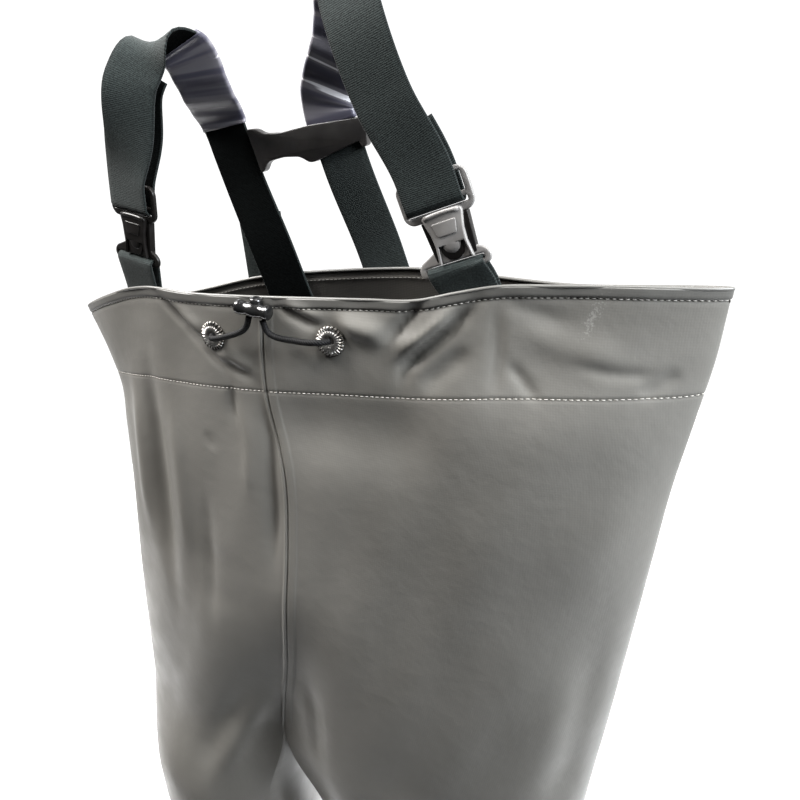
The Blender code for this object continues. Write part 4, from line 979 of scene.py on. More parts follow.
def fold_push(points, normals):
    """How far the folds move each point of the cloth outwards."""
    places = points[:, [0, 2]]
    push = np.zeros(len(points))
    to_front = facing(normals, "front")
    for fold in FOLDS:
        away, share = line_distance(places, fold.way)
        fade = FOLD_END + (1 - FOLD_END) * ease(np.minimum(share, 1 - share) / FOLD_TAPER)
        push += fold.depth * fade * bell(away, fold.width) * facing(normals, fold.face)
    x, z = places.T
    slack = np.sin(41 * x + 9 * z + 0.6) * np.sin(23 * z - 7 * x) + 0.6 * np.sin(83 * x - 31 * z)
    push += SLACK * slack * ease((z - LEG_CUFF - 0.02) / 0.10)
    for name in SIDES:
        beside = ease((LOOP_WIDTH / 2 + LOOP_MARGIN - np.abs(x - loop_place(name).x)) / 0.008)
        above = ease((z - (rim_height(x) - LOOP_REACH)) / 0.012)
        least = -LOOP_CLEAR - FREE_FOLD * (1 - beside * above * to_front)
        push = np.maximum(push, least)
    for spot_x, spot_z, reach, face in FLAT_SPOTS:
        away = np.hypot(x - spot_x, z - spot_z)
        push *= 1 - facing(normals, face) * ease((1.5 * reach - away) / (0.7 * reach))
    return push * ease((z - LEG_END) / 0.05)


def sewing_push(points, normals, drop):
    """Relief of the hem, the rows of stitches and the lap of the front seam."""
    hem = HEM_RISE * ease((RIM_STITCH - drop) / 0.0016)
    rows = sum(bell(drop - row, DENT_WIDTH) for row in (RIM_STITCH, CASING_STITCH))
    aside = points[:, 0] - sections(BIB, BIB[0].height - drop).seam
    lap = LAP_RISE * ease((aside + 0.0005) / 0.001) * ease((LAP_WIDTH - aside) / 0.0022)
    ridge = RIDGE_RISE * bell(aside + 0.0022, 0.0014)
    groove = GROOVE_DIP * bell(aside - 0.0002, 0.0010)
    seam = (lap + ridge - groove) * facing(normals, "front") * (drop < BIB[0].height - CROTCH_HEIGHT)
    return hem - DENT * rows + seam


def open_eyelet_holes(bm):
    """Take out the cloth inside each eyelet and draw the hole's edge round."""
    for name in SIDES:
        middle, _ = bib_wall(*EYELETS[name], True)
        near = [vert for vert in bm.verts if (vert.co - middle).length < EYELET_HOLE]
        inner = set(near)
        touching = dict.fromkeys(face for vert in near for face in vert.link_faces)
        covered = [face for face in touching if all(corner in inner for corner in face.verts)]
        bmesh.ops.delete(bm, geom=covered, context="FACES_ONLY")
        for vert in near:
            if vert.is_valid and vert.link_faces:
                away = vert.co - middle
                vert.co = middle + away * (EYELET_HOLE / max(away.length, 0.001))


def make_body(finish, inner_finish):
    """Bib and legs as one wall of coated cloth with its folds, open at the rim and at each leg's end."""
    all_points, all_faces, drops, girths = zip(*[body_half(name, side) for name, side in SIDES.items()])
    points, drop, girth = (np.concatenate(parts) for parts in (all_points, drops, girths))
    faces = np.concatenate([all_faces[0], all_faces[1] + len(all_points[0])])
    _, first, place = np.unique(np.round(points, 6), axis=0, return_index=True, return_inverse=True)
    points, drop = points[first], drop[first]
    uv = np.stack([girth[first], points[:, 2]], axis=-1)
    faces = place.ravel()[faces]
    body = make_piece("body_cloth", points, faces, finish, uv)
    add_map(body.data, "Sewing", np.stack([drop, points[:, 0]], axis=-1))
    body.data.materials.append(inner_finish)
    normals = np.empty(len(points) * 3, dtype=np.float32)
    body.data.vertices.foreach_get("normal", normals)
    normals = normals.reshape(-1, 3)
    if normals[np.argmin(points[:, 1])][1] > 0:
        body.data.flip_normals()
        normals = -normals
    push = fold_push(points, normals) + sewing_push(points, normals, drop)
    body.data.vertices.foreach_set("co", (points + normals * push[:, None]).astype(np.float32).ravel())
    with editing(body.data) as bm:
        empty = [face for face in bm.faces if face.calc_area() < 1e-10]
        bmesh.ops.delete(bm, geom=empty, context="FACES_ONLY")
        open_eyelet_holes(bm)
        bmesh.ops.delete(bm, geom=[vert for vert in bm.verts if not vert.link_faces], context="VERTS")
    body.data.shade_smooth()
    wall = add_wall(body, CLOTH)
    wall.material_offset = 1
    wall.material_offset_rim = 0
    return settle(body, "cloth", "body_left", "body_right", "leg_left", "leg_right")


def surface_finder(body):
    """A function that drops a place onto the folded cloth along a direction."""
    tree = BVHTree.FromPolygons([vert.co for vert in body.data.vertices],
                                [list(face.vertices) for face in body.data.polygons])

    def find(place, outward):
        hit, normal, _, _ = tree.ray_cast(place + outward * RAY_START, -outward)
        if hit is None:
            return place, outward
        return hit, normal if normal.dot(outward) > 0 else -normal
    return find


def row_places(drop, find, pitch):
    """Places at an even pitch round the bib, at a drop below the rim, on the folded cloth."""
    turns = np.linspace(0.0, 2 * math.pi, RIM_STEPS + 1)
    line = bib_points(BIB[0].height - drop, turns)
    inner = bib_points(BIB[0].height - drop - HEM_STEP, turns)
    lengths = travelled(line)
    count = int(lengths[-1] / pitch)
    marks = np.interp(np.arange(count) * lengths[-1] / count, lengths, turns)
    step = turns[1]
    places = []
    for turn in marks:
        k = int(turn / step) % RIM_STEPS
        along = Vector(line[k + 1] - line[k]).normalized()
        outward = along.cross(Vector(line[k] - inner[k])).normalized()
        places.append((*find(Vector(bib_points(BIB[0].height - drop, turn)), outward), along))
    return places


def make_stitches(name, drop, find, finish, inside=False):
    """A row of separate stitches, each a short rounded bead that dips into the cloth at its ends."""
    points, faces = [], []
    rings, sides = len(STITCH_PROFILE), 6
    for place, normal, along in row_places(drop, find, STITCH_PITCH):
        if inside:
            place, normal = place - normal * CLOTH, -normal
        across = along.cross(normal).normalized()
        first = len(points)
        for share, girth, rise in STITCH_PROFILE:
            middle = place + along * (share * STITCH_LENGTH) + normal * (rise * STITCH_RADIUS)
            for k in range(sides):
                turn = 2 * math.pi * k / sides
                aside = across * math.cos(turn) + normal * math.sin(turn)
                points.append(middle + aside * girth * STITCH_RADIUS)
        faces += (grid_faces(rings, sides, True) + first).tolist()
        faces += [list(range(first, first + sides))[::-1]]
        faces += [list(range(first + (rings - 1) * sides, first + rings * sides))]
    return settle(make_piece(name, points, faces, finish, outward=True), "cloth")


def make_rim_roll(finish):
    """Rolled edge of the hem round the rim."""
    turns = np.linspace(0.0, 2 * math.pi, RIM_STEPS // 2 + 1)[:-1]
    line = bib_points(BIB[0].height, turns)
    below = bib_points(BIB[0].height - HEM_STEP, turns)
    along = unit(np.roll(line, -1, axis=0) - np.roll(line, 1, axis=0))
    up = square_to(line - below, along)
    outward = np.cross(along, up)
    inset = line - outward * ROLL_INSET
    roll = sweep("rim_roll", inset, outward, up, circle(ROLL_RADIUS, 10), finish, wrap=True)
    return settle(roll, "cloth")


# Braces
def buckle_frame(name):
    """The buckle's own frame in the world: x across, y back, z up the brace."""
    buckle = BUCKLES[name]
    turn = Matrix.Rotation(math.radians(buckle.swing), 4, "Z")
    turn = turn @ Matrix.Rotation(-math.radians(buckle.lean), 4, "Y")
    return Matrix.Translation((buckle.x, buckle.y, buckle.z)) @ turn


def loop_place(name):
    """Where a buckle's loop is sewn to the bib."""
    return buckle_frame(name) @ Vector((0, 0, LOOP_BAR - LOOP_SEWN))


def yoke_frame():
    """The yoke's own frame in the world: x along it, z up through its slots."""
    return Matrix.Translation(YOKE_MIDDLE) @ Matrix.Rotation(-math.radians(YOKE_TILT), 4, "Y")


def spline(stops, spacing):
    """Points along a smooth curve through the stops, with the lean and swing of each."""
    data = np.array(stops, dtype=float)
    places = travelled(data[:, :3])
    marks = np.linspace(0.0, places[-1], max(2, int(round(places[-1] / spacing))) + 1)
    return np.stack([curve_value(places, column, marks) for column in data.T], axis=-1)


def fold_points(bar, below):
    """A band's half turn round a buckle bar, from its back face to its front face."""
    turns = np.linspace(0.0, math.pi, 13)
    reach = -FOLD_RADIUS if below else FOLD_RADIUS
    return [(0.0, FOLD_RADIUS * math.cos(turn), bar + reach * math.sin(turn)) for turn in turns]


def buckle_stops(name, points):
    """Points given in a buckle's own frame, as stops in the world with the buckle's turn."""
    frame = buckle_frame(name)
    buckle = BUCKLES[name]
    return [Stop(*(frame @ Vector(point)), buckle.lean, buckle.swing) for point in points]


def band_frames(stops):
    """Places along a band, with the directions across it and out of its face."""
    stops = np.array(stops, dtype=float)
    places = stops[:, :3]
    ahead = unit(np.gradient(places, axis=0))
    lean, swing = np.radians(stops[:, 3]), np.radians(stops[:, 4])
    across = np.stack([np.cos(lean) * np.cos(swing), np.cos(lean) * np.sin(swing), np.sin(lean)], axis=-1)
    across = square_to(across, ahead)
    return places, across, np.cross(across, ahead)


def return_layer(stops, layer):
    """The layer that comes back up behind the start of a band, listed from its top down."""
    places, _, outward = band_frames(stops)
    run = travelled(places)
    keep = (run > 0) & (run <= layer.length)
    off = 2 * FOLD_RADIUS + layer.spread * np.sin(math.pi * run / layer.length)
    behind = np.array(stops, dtype=float)
    behind[:, :3] -= outward * off[:, None]
    return behind[keep][::-1]


def back_stop(x, drop, off, lean):
    """A stop beside the back of the bib: drop below the rim, off outside its cloth."""
    height = rim_height(x) - drop
    place, outward = bib_wall(x, min(height, rim_height(x) - BIB[0].droop), False)
    place = place + outward * off
    return Stop(x, place.y, height, lean, math.degrees(math.atan2(-outward.x, outward.y)))


def brace_over(name, spacing):
    """A brace's way from its buckle over the shoulder, through the yoke and down to its sewn end."""
    fold = buckle_stops(name, fold_points(WRAP_BAR, True))
    front_top = buckle_stops(name, [(0.0, -FOLD_RADIUS, FRAME_TOP + FRAME_CLEAR)])
    yoke = yoke_frame()
    slot = YOKE_SPACING / 2 * SIDES[name]
    tail = TAILS[name]
    slope = math.tan(math.radians(tail.lean - YOKE_TILT))
    through = [Stop(*(yoke @ Vector((slot - slope * z, 0, z))), tail.lean, 0.0) for z in YOKE_STOPS]
    slope = math.tan(math.radians(tail.lean))
    ends = [back_stop(tail.x + slope * drop, drop, tail.off, tail.lean) for drop in TAIL_DROPS]
    return fold, spline(fold[-1:] + front_top + list(SHOULDERS[name]) + through + ends, spacing)


def make_brace(name, finish, inner_finish):
    """Elastic brace: its return layer, the fold round the buckle, the shoulder and the back."""
    fold, over = brace_over(name, BAND_STEP)
    way = np.concatenate([return_layer(over, RETURNS[name]), np.array(fold[:-1], dtype=float), over])
    places, across, outward = band_frames(way)
    profile = rounded_strip(BAND_WIDTH, BAND)
    brace = sweep("brace_" + name + "_web", places, across, outward, profile, finish)
    # the band's inner face takes the second finish; for the right brace that is a painted-shade copy of the
    # webbing
    brace.data.materials.append(inner_finish)
    for face in brace.data.polygons:
        if face.index % len(profile) in range(len(profile) // 2, len(profile) - 4):
            face.material_index = 1
    return settle(brace, "webbing", "brace_" + name)


def make_outer_tab(finish):
    """Short tab behind the right brace, sewn outside the back of the bib."""
    stops = [back_stop(stop.x, stop.drop, stop.off, TAB_LEAN) for stop in OUTER_TAB]
    places, across, outward = band_frames(spline(stops, BAND_STEP))
    tab = sweep("brace_tab_web", places, across, outward, rounded_strip(BAND_WIDTH, BAND), finish)
    return settle(tab, "webbing", "brace_tab_right")


def make_sleeve(name, finish):
    """Clear film sleeve round a brace behind the shoulder's top, loose and rippled."""
    _, over = brace_over(name, SLEEVE_STEP)
    apex = int(np.argmax(over[:, 2]))
    stretch = over[apex + SLEEVES[name].after:]
    stretch = stretch[: int(np.argmax(stretch[:, 2] < SLEEVES[name].low))]
    places, across, outward = band_frames(stretch)
    along = np.arange(len(places)) * SLEEVE_STEP
    profile = rounded_strip(BAND_WIDTH + SLEEVE_ROOM[0], BAND + SLEEVE_ROOM[1])
    ripple = sum(high * np.sin(along * pace + shift) for high, pace, shift in RIPPLES)
    sleeve = sweep("sleeve_" + name, places + outward * ripple[:, None], across, outward, profile, finish)
    return settle(sleeve, "webbing")


def make_loop(name, finish):
    """Webbing loop: both legs inside the front of the bib, folded over the buckle's lower bar."""
    top = buckle_stops(name, fold_points(LOOP_BAR, False))
    place = loop_place(name)
    legs = ([], [])
    for drop in LOOP_DROPS:
        height = rim_height(place.x) - drop
        wall, outward = bib_wall(place.x, height, True)
        swing = math.degrees(math.atan2(outward.x, -outward.y))
        for leg, layer in zip(legs, LOOP_LAYERS):
            spot = wall - outward * (CLOTH + layer)
            leg.append(Stop(place.x, spot.y, height, BUCKLES[name].lean / 2, swing))
    inner, outer = legs
    rise = spline(inner + top[:1], BAND_STEP)[:-1]
    fall = spline(top[-1:] + outer[::-1], BAND_STEP)[1:]
    places, across, outward = band_frames(np.concatenate([rise, np.array(top, dtype=float), fall]))
    loop = sweep("loop_" + name + "_web", places, across, outward, rounded_strip(LOOP_WIDTH, BAND), finish)
    return settle(loop, "webbing", "loop_" + name)


# Buckles and yoke
def plate(name, outlines, depth, edge, finish):
    """A flat moulded piece from outlines in the x-z plane, the first outside and the rest windows."""
    curve = bpy.data.curves.new(name, "CURVE")
    curve.dimensions = "2D"
    curve.fill_mode = "BOTH"
    curve.extrude = depth / 2 - edge
    curve.bevel_depth = edge
    curve.bevel_resolution = 2
    curve.offset = -edge
    for outline in outlines:
        line = curve.splines.new("POLY")
        line.points.add(len(outline) - 1)
        line.use_cyclic_u = True
        for point, (x, z) in zip(line.points, outline):
            point.co = (x, z, 0, 1)
    guide = add_object(name + "_outline", curve)
    mesh = finished_mesh(guide)
    bpy.data.objects.remove(guide, do_unlink=True)
    with editing(mesh) as bm:
        bmesh.ops.remove_doubles(bm, verts=bm.verts, dist=0.00001)
        bmesh.ops.rotate(bm, verts=bm.verts, cent=(0, 0, 0), matrix=Matrix.Rotation(math.pi / 2, 3, "X"))
        bmesh.ops.recalc_face_normals(bm, faces=bm.faces)
    mesh.name = name
    mesh.shade_smooth()
    mesh.set_sharp_from_angle(angle=math.radians(40))
    mesh.materials.clear()
    mesh.materials.append(finish)
    return add_object(name, mesh)


def rounded(outline, radius, steps=4):
    """An outline with each corner turned into an arc of about the radius."""
    outline = np.array(outline)
    result = []
    for before, here, after in zip(np.roll(outline, 1, axis=0), outline, np.roll(outline, -1, axis=0)):
        ways = [before - here, after - here]
        cut = min(radius, *[0.45 * np.linalg.norm(way) for way in ways])
        start, end = [here + unit(way) * cut for way in ways]
        for share in np.linspace(0.0, 1.0, steps + 1):
            result.append(tuple((1 - share) ** 2 * start + 2 * share * (1 - share) * here + share ** 2 * end))
    return result


def mirrored(half):
    """A symmetric outline from its right half, listed from bottom to top."""
    return half + [(-x, z) for x, z in reversed(half)]


def window(left, right, low, high):
    """Outline of a slot with small round corners."""
    return rounded([(left, low), (right, low), (right, high), (left, high)], SLOT_CORNER)


def make_brace_frame(name, finish):
    """Upper frame of a buckle, with two slots for the brace."""
    low, high = FRAME_LOW + FRAME_CORNER, FRAME_TOP - FRAME_CORNER
    left, right = FRAME_LEFT + FRAME_CORNER, FRAME_RIGHT - FRAME_CORNER
    outer = [(right, FRAME_LOW), (FRAME_RIGHT, low), (FRAME_RIGHT, high), (right, FRAME_TOP),
             (left, FRAME_TOP), (FRAME_LEFT, high), (FRAME_LEFT, low), (left, FRAME_LOW)]
    fold_end = WRAP_BAR - FOLD_RADIUS - BAND / 2 - FOLD_ROOM
    sides = (FRAME_LEFT + LEFT_BAR, FRAME_RIGHT - RIGHT_BAR)
    slots = [window(*sides, fold_end, WRAP_BAR - BAR / 2),
             window(*sides, WRAP_BAR + BAR / 2, FRAME_TOP - BAR)]
    outlines = [rounded(outer, 0.0045)] + slots
    return plate("buckle_" + name + "_frame", outlines, FRAME_DEPTH, MOULD_EDGE, finish)


def make_loop_frame(name, finish):
    """Lower frame of a buckle, with wings and a slot for the loop."""
    low, high = LOOP_BAR - BAR / 2, LOOP_BAR + BAR / 2
    wing = [(0.0225, low), (0.0265, low + 0.0005), (0.0288, high), (0.0286, high + 0.0040),
            (0.0255, high + 0.0080), (0.0195, high + 0.0105)]
    neck = [(PLUG_X + side * PLUG_HALVES[0], PLUG_END - GAP) for side in (1, -1)]
    outer = wing + neck + [(-x, z) for x, z in reversed(wing)]
    half = (LOOP_WIDTH + LOOP_SLOT_ROOM) / 2
    slot = window(-half, half, high, LOOP_BAR + FOLD_RADIUS + BAND / 2 + FOLD_ROOM)
    outlines = [rounded(outer, 0.0030), slot]
    return plate("loop_frame_" + name + "_moulded", outlines, FRAME_DEPTH, 0.0012, finish)


def plug_outlines():
    """Outlines of the plug's layers: the moulded ones, and a dark ring behind the dome that paints its
    shadow.
    """
    low, high = PLUG_HALVES
    face = [(low - 0.0024, FACE_END), (low - 0.0006, LEG_TIP), (low + 0.0014, LEG_TIP), (low, FACE_END),
            (low + 0.0006, 0.0), (high, PLUG_TOP - 0.0030), (high - 0.0004, PLUG_TOP - 0.0010),
            (high - 0.0018, PLUG_TOP)]
    core = [(low - 0.0015, LEG_TIP), (high - 0.0015, PLUG_TOP - 0.0006)]
    socket = [(low - 0.0010, LEG_TIP), (low - 0.0028, FACE_END + 0.0015)]
    crest = [(0.0074, -0.0024), (0.0098, 0.0078)]
    # dark disc behind the dome, set lower, painted shadow below its edge
    ring = circle(SHADOW_RING_RADIUS, 32) + (0.0, FACE_END - 0.0026)
    return {"face": mirrored(face), "core": mirrored(core), "socket": rounded(mirrored(socket), 0.0020),
            "ring": ring, "crest": rounded(mirrored(crest), 0.0014)}


def plug_piece(name, outline, layer, finish):
    """One moulded layer of a buckle's plug."""
    piece = plate(name, [outline], layer.depth, layer.edge, finish)
    piece.data.transform(Matrix.Translation((PLUG_X, layer.back, 0)))
    return settle(piece, "plastic")


def make_rail(name, word, side, finish):
    """Dark rail along one side of the plug."""
    low, high = PLUG_HALVES
    end = PLUG_TOP - 0.0045
    rail = [(low - 0.0010, LEG_TIP + 0.0010), (low + 0.0038, LEG_TIP + 0.0016),
            (high + 0.0028, end), (high - 0.0020, end)]
    outline = rounded([(side * x, z) for x, z in rail], SLOT_CORNER)
    return plug_piece("rail_%s_%s" % (name, word), outline, RAIL_LAYER, finish)


def make_dome(name, finish):
    """Low round dome below the crest."""
    dome = lathe("buckle_%s_dome" % name, DOME_PROFILE, 40, finish)
    place = Matrix.Translation((PLUG_X, -0.0032, FACE_END + 0.0004))
    dome.data.transform(place @ Matrix.Rotation(math.pi / 2, 4, "X"))
    return settle(dome, "plastic")


def make_lip(name, finish):
    """Rounded lip along the arched top of the plug."""
    half, count = PLUG_HALVES[1] - 0.0020, 9
    reach = np.linspace(-half, half, count)
    path = np.stack([PLUG_X + reach, np.full(count, -0.0042), PLUG_TOP - 0.0008 - 4.0 * reach ** 2], axis=-1)
    back, up = [np.tile(way, (count, 1)) for way in ((0.0, 1.0, 0.0), (0.0, 0.0, 1.0))]
    return settle(sweep("buckle_%s_lip" % name, path, back, up, circle(0.0019, 12), finish), "plastic")


def make_buckle(name, finish, dark_finish):
    """A buckle: its two frames, and the plug between them in layers, with its rails, dome and lip."""
    upper, lower = make_brace_frame(name, finish), make_loop_frame(name, finish)
    pieces = [settle(upper, "plastic", "buckle_" + name), settle(lower, "plastic", "loop_frame_" + name)]
    outlines = plug_outlines()
    for layer in PLUG_LAYERS:
        look = dark_finish if layer.dark else finish
        pieces.append(plug_piece("buckle_%s_%s" % (name, layer.name), outlines[layer.name], layer, look))
    for word, side in (("outer", 1), ("inner", -1)):
        pieces.append(make_rail(name, word, side, dark_finish))
    pieces += [make_dome(name, finish), make_lip(name, finish)]
    for piece in pieces:
        piece.matrix_world = buckle_frame(name)


def make_yoke(finish):
    """Moulded connector behind the shoulders: a plate with a slot for each brace."""
    yoke = plate("yoke_moulded", [rounded(YOKE_OUTLINE, YOKE_CORNER)], YOKE_DEPTH, MOULD_EDGE, finish)
    yoke.matrix_world = yoke_frame()
    bpy.context.view_layer.update()
    for name, side in SIDES.items():
        open_front = YOKE_DEPTH if name == "right" else 0.0
        bpy.ops.mesh.primitive_cube_add(size=1.0)
        tool = bpy.context.object
        tool.scale = (BAND_WIDTH + YOKE_SLOT_ROOM + open_front, BAND + YOKE_SLOT_GAP + open_front, SLOT_TOOL)
        bpy.ops.object.transform_apply(location=False, rotation=False, scale=True)
        place = Matrix.Translation((side * (YOKE_SPACING + open_front) / 2, -open_front / 2, 0))
        turn = Matrix.Rotation(math.radians(YOKE_TILT - TAILS[name].lean), 4, "Y")
        tool.matrix_world = yoke_frame() @ place @ turn
        carve(yoke, tool)
    settle(yoke, "yoke", "yoke")


# Drawcord
def make_eyelet(name, finish):
    """Toothed eyelet: a rolled bore with a flange pressed into radial teeth."""
    def wave(radius, height, turns):
        share = max(0.0, (radius - EYELET_HOLE - 0.0002) / (EYELET_OUTER - EYELET_HOLE))
        ripple = np.cos(EYELET_TEETH * turns)
        wide = radius + 0.0005 * share ** 2 * ripple
        return wide, height + 0.00075 * min(share * 2.5, 1.0) * (ripple - 0.3)
    bore, hole, outer = CORD / 2 + 0.0014, EYELET_HOLE, EYELET_OUTER
    profile = [(bore, -0.0040), (bore, 0.0010), (bore + 0.0003, 0.0022), (bore + 0.0012, 0.0030),
               (hole + 0.0008, 0.0026), (hole + 0.0014, 0.0019), (hole + 0.0022, 0.0022),
               (outer - 0.0022, 0.0022), (outer - 0.0008, 0.0017), (outer, 0.0009),
               (outer - 0.0004, 0.0004), (hole, 0.0004), (hole, -0.0040)]
    piece = lathe("eyelet_" + name + "_toothed", profile, EYELET_TEETH * 8, finish, wave)
    place, outward = bib_wall(*EYELETS[name], True)
    piece.matrix_world = Matrix.Translation(place) @ outward.to_track_quat("Z", "Y").to_matrix().to_4x4()
    return settle(piece, "metal", "eyelet_" + name)


def lock_frame():
    """The cord lock's own frame: x along its barrel."""
    return Matrix.Translation(LOCK_MIDDLE) @ Matrix.Rotation(-math.radians(LOCK_TILT), 4, "Y")


def make_cord_lock(finish):
    """Barrel lock: a grooved barrel with a collar at each end and a press button above it."""
    half, r = LOCK_LENGTH / 2, LOCK_RADIUS
    profile = [(0.0, half - 0.0012), (0.0026, half - 0.0012), (0.0030, half), (r - 0.0008, half),
               (r, half - 0.0010), (r, half - 0.0050), (r - 0.0004, half - 0.0056), (r - 0.0004, 0.0040),
               (r, 0.0032), (r, -0.0032), (r - 0.0004, -0.0040), (r - 0.0004, -half + 0.0056),
               (r, -half + 0.0050), (r, -half + 0.0010), (r - 0.0012, -half), (0.0, -half)]
    barrel = lathe("cord_lock_barrel", profile, 32, finish)
    barrel.data.set_sharp_from_angle(angle=math.radians(50))
    barrel.matrix_world = lock_frame() @ Matrix.Rotation(-math.pi / 2, 4, "Y")
    settle(barrel, "lock", "cord_lock")
    profile = [(0.0, 0.0050), (0.0036, 0.0050), (0.0050, 0.0042), (0.0055, 0.0026), (0.0055, -0.0040),
               (0.0, -0.0040)]
    button = lathe("cord_lock_button", profile, 28, finish)
    button.matrix_world = lock_frame() @ Matrix.Translation((0.0010, 0.0030, LOCK_RADIUS - 0.0012))
    return barrel, settle(button, "lock")


def cord_stops(name):
    """Stops of a drawcord end: out of its eyelet, hanging slack, then up to the lock's underside."""
    place, outward = bib_wall(*EYELETS[name], True)
    end = lock_frame() @ Vector((LOCK_MOUTHS[name], 0, -LOCK_RADIUS - CORD_ROOM))
    start = place + outward * 0.0016
    out = place + outward * 0.0075 + Vector((-SIDES[name] * 0.004, 0, 0))
    approach = end + Vector((SIDES[name] * 0.003, 0, -0.008))
    low = out.lerp(approach, 0.45) + Vector((0, -0.002, -0.0030))
    return [start, out, low, approach, end]


def make_drawcord(name, finish):
    """One end of the drawcord, from its eyelet to the lock."""
    path = spline([list(stop) for stop in cord_stops(name)], CORD_STEP)
    ahead = unit(np.gradient(path, axis=0))
    side = unit(np.cross(ahead, (0.0, 1.0, 0.2)))
    up = np.cross(ahead, side)
    cord = sweep("drawcord_" + name + "_braid", path, side, up, circle(CORD / 2, 12), finish)
    settle(cord, "cord", "drawcord_" + name)
    return cord


# Boots
def foot_outline(row, stations, grow):
    """Outlines of boot sections, up the outer side to the toe and back on the inner: x, y, station."""
    inner = stations[-2:0:-1]
    station = np.concatenate([stations, inner])[None, :]
    outer = np.arange(station.size)[None, :] < len(stations)
    heel, toe = row.heel + grow, row.toe - grow
    halves = (row.heel_half, row.heel_half, row.waist_half, row.ball_half, row.tip_half, row.tip_half * 0.94)
    table = np.stack(np.broadcast_arrays(*halves), axis=0).reshape(len(halves), -1)
    half = np.stack([curve_value(HALF_WIDTH_STATIONS, column, station[0]) for column in table.T]) + grow
    half = half - np.where(outer, 0.0, ARCH_CUT * row.curve * bell(station - 0.40, 0.16))
    half = half * np.maximum(1 - np.abs(2 * station - 1) ** row.full, 0.0) ** (1 / row.full)
    bend = np.maximum(0.0, (station - 0.40) / 0.60) ** 2
    x = np.where(outer, half, -half) - FOOT_SWAY * row.curve * bend
    return x, heel + (toe - heel) * station, np.broadcast_to(station, x.shape)


def toe_lift(station):
    """Rise of the foot towards the toe's tip."""
    return TOE_LIFT * np.maximum(0.0, (station - 0.72) / 0.28) ** 2


def sole_face(station, column):
    """Height of the sole's top or underside at stations along the foot."""
    places = [row.station for row in SOLE_PROFILE]
    return np.interp(station, places, [getattr(row, column) for row in SOLE_PROFILE])


def foot_stations(count):
    """Stations from heel to toe, closest at the round ends."""
    return (1 - np.cos(np.linspace(0.0, math.pi, count))) / 2


def boot_relief(x, station, height):
    """Moulded relief of the boot: rand, toe guard, heel counter and spur, ankle ribs and the back seam."""
    above = height - BOOT[0].height
    rand = 0.0011 * ease((0.0150 - above) / 0.0020)
    guard = 0.0009 * ease((station - 0.80) / 0.02) * ease((0.046 - above) / 0.003)
    ridges = 0.0005 * np.sin(above * 2 * math.pi / TOE_RIDGE_PITCH)
    ridges = ridges * ease((station - 0.83) / 0.03) * ease((0.044 - above) / 0.004)
    counter = 0.0009 * ease((0.17 - station) / 0.02) * ease((0.070 - above) / 0.004)
    spur = 0.0022 * ease((0.09 - station) / 0.05) * bell(above - 0.043, 0.0042)
    ankle = 0.0012 * sum(bell(height - level, 0.0028) for level in ANKLE_RIBS)
    ankle = ankle * ease((station - 0.55) / 0.2)
    seam = 0.0006 * bell(x, 0.0016) * (station < 0.2)
    return rand + guard + ridges + counter + spur + ankle + seam


def make_boot(name, side, finish):
    """Moulded boot upper and shaft with its relief, open at the top and underneath."""
    foot = np.linspace(BOOT[0].height, FOOT_TOP, FOOT_ROWS)
    shaft = np.linspace(SHAFT_START, BOOT[-1].height, SHAFT_ROWS)
    heights = np.concatenate([foot, shaft])[:, None]
    row = sections(BOOT, heights)
    x, y, station = foot_outline(row, foot_stations(BOOT_STATIONS), 0.0)
    spring = np.maximum(row.spring, 0.0)
    z = heights + spring * toe_lift(station)
    z = z + spring * (sole_face(station, "top") - SOLE_PROFILE[0].top) * np.where(heights < 0.03, 1.0, 0.5)
    z[0] = sole_face(station[0], "top") + GAP
    points = np.stack([side * (BOOT_X + x), y, z], axis=-1)
    around = np.roll(points, -1, axis=1) - np.roll(points, 1, axis=1)
    normal = np.cross(around, np.gradient(points, axis=0))
    normal /= np.maximum(np.linalg.norm(normal, axis=2, keepdims=True), 1e-9)
    centre = np.array([side * BOOT_X, 0.03, 0.0])
    normal *= np.sign(np.sum(normal * (points - centre), axis=2, keepdims=True).mean())
    relief = boot_relief(x, station, heights)
    relief[0] = np.minimum(relief[0], 0.0)
    points = points + normal * relief[..., None]
    uv = np.stack([station, np.broadcast_to(heights, station.shape)], axis=-1)
    boot = make_piece("boot_" + name + "_moulded", points.reshape(-1, 3),
                      grid_faces(*station.shape, True), finish, uv.reshape(-1, 2), outward=True)
    add_wall(boot, BOOT_WALL)
    return settle(boot, "boot", "boot_" + name, "boot_shaft_" + name)


def make_cuff_tape(name, side, finish):
    """Welded tape round the leg's end where it joins the boot shaft."""
    turns = np.linspace(0.0, 2 * math.pi, 121)[:-1]
    height = LEG_END + TAPE_RISE
    row = sections(leg_rows(name), np.array([height]))
    x = row.middle - side * (row.half_width + TAPE_OFF) * np.cos(turns)
    y = row.forward - (row.half_depth + TAPE_OFF) * np.sin(turns)
    path = np.stack([x, y, np.full(len(turns), height)], axis=-1)
    around = unit(np.roll(path, -1, axis=0) - np.roll(path, 1, axis=0))
    up = np.tile((0.0, 0.0, 1.0), (len(turns), 1))
    tape = sweep("cuff_tape_" + name, path, np.cross(around, up) * side, up, TAPE_PROFILE, finish, wrap=True)
    return settle(tape, "boot")


def sole_outline(grow):
    """Outline of the foot where it meets the sole, grown outwards: x, y, station."""
    base = sections(BOOT, np.array([[BOOT[0].height]]))
    return [data[0] for data in foot_outline(base, foot_stations(SOLE_STATIONS), grow)]


def slab(name, side, levels, finish):
    """A closed slab from stacked foot outlines, its two faces ruled across the foot."""
    points = np.concatenate([np.stack([side * (BOOT_X + x), y, z], axis=-1) for x, y, z in levels])
    columns = levels[0][0].size
    faces = grid_faces(len(levels), columns, True).tolist()
    for first in (0, (len(levels) - 1) * columns):
        for k in range(columns // 2):
            corners = [k, k + 1, (columns - k - 1) % columns, (columns - k) % columns]
            faces.append([first + corner for corner in dict.fromkeys(corners)])
    return make_piece(name, points, faces, finish, outward=True)


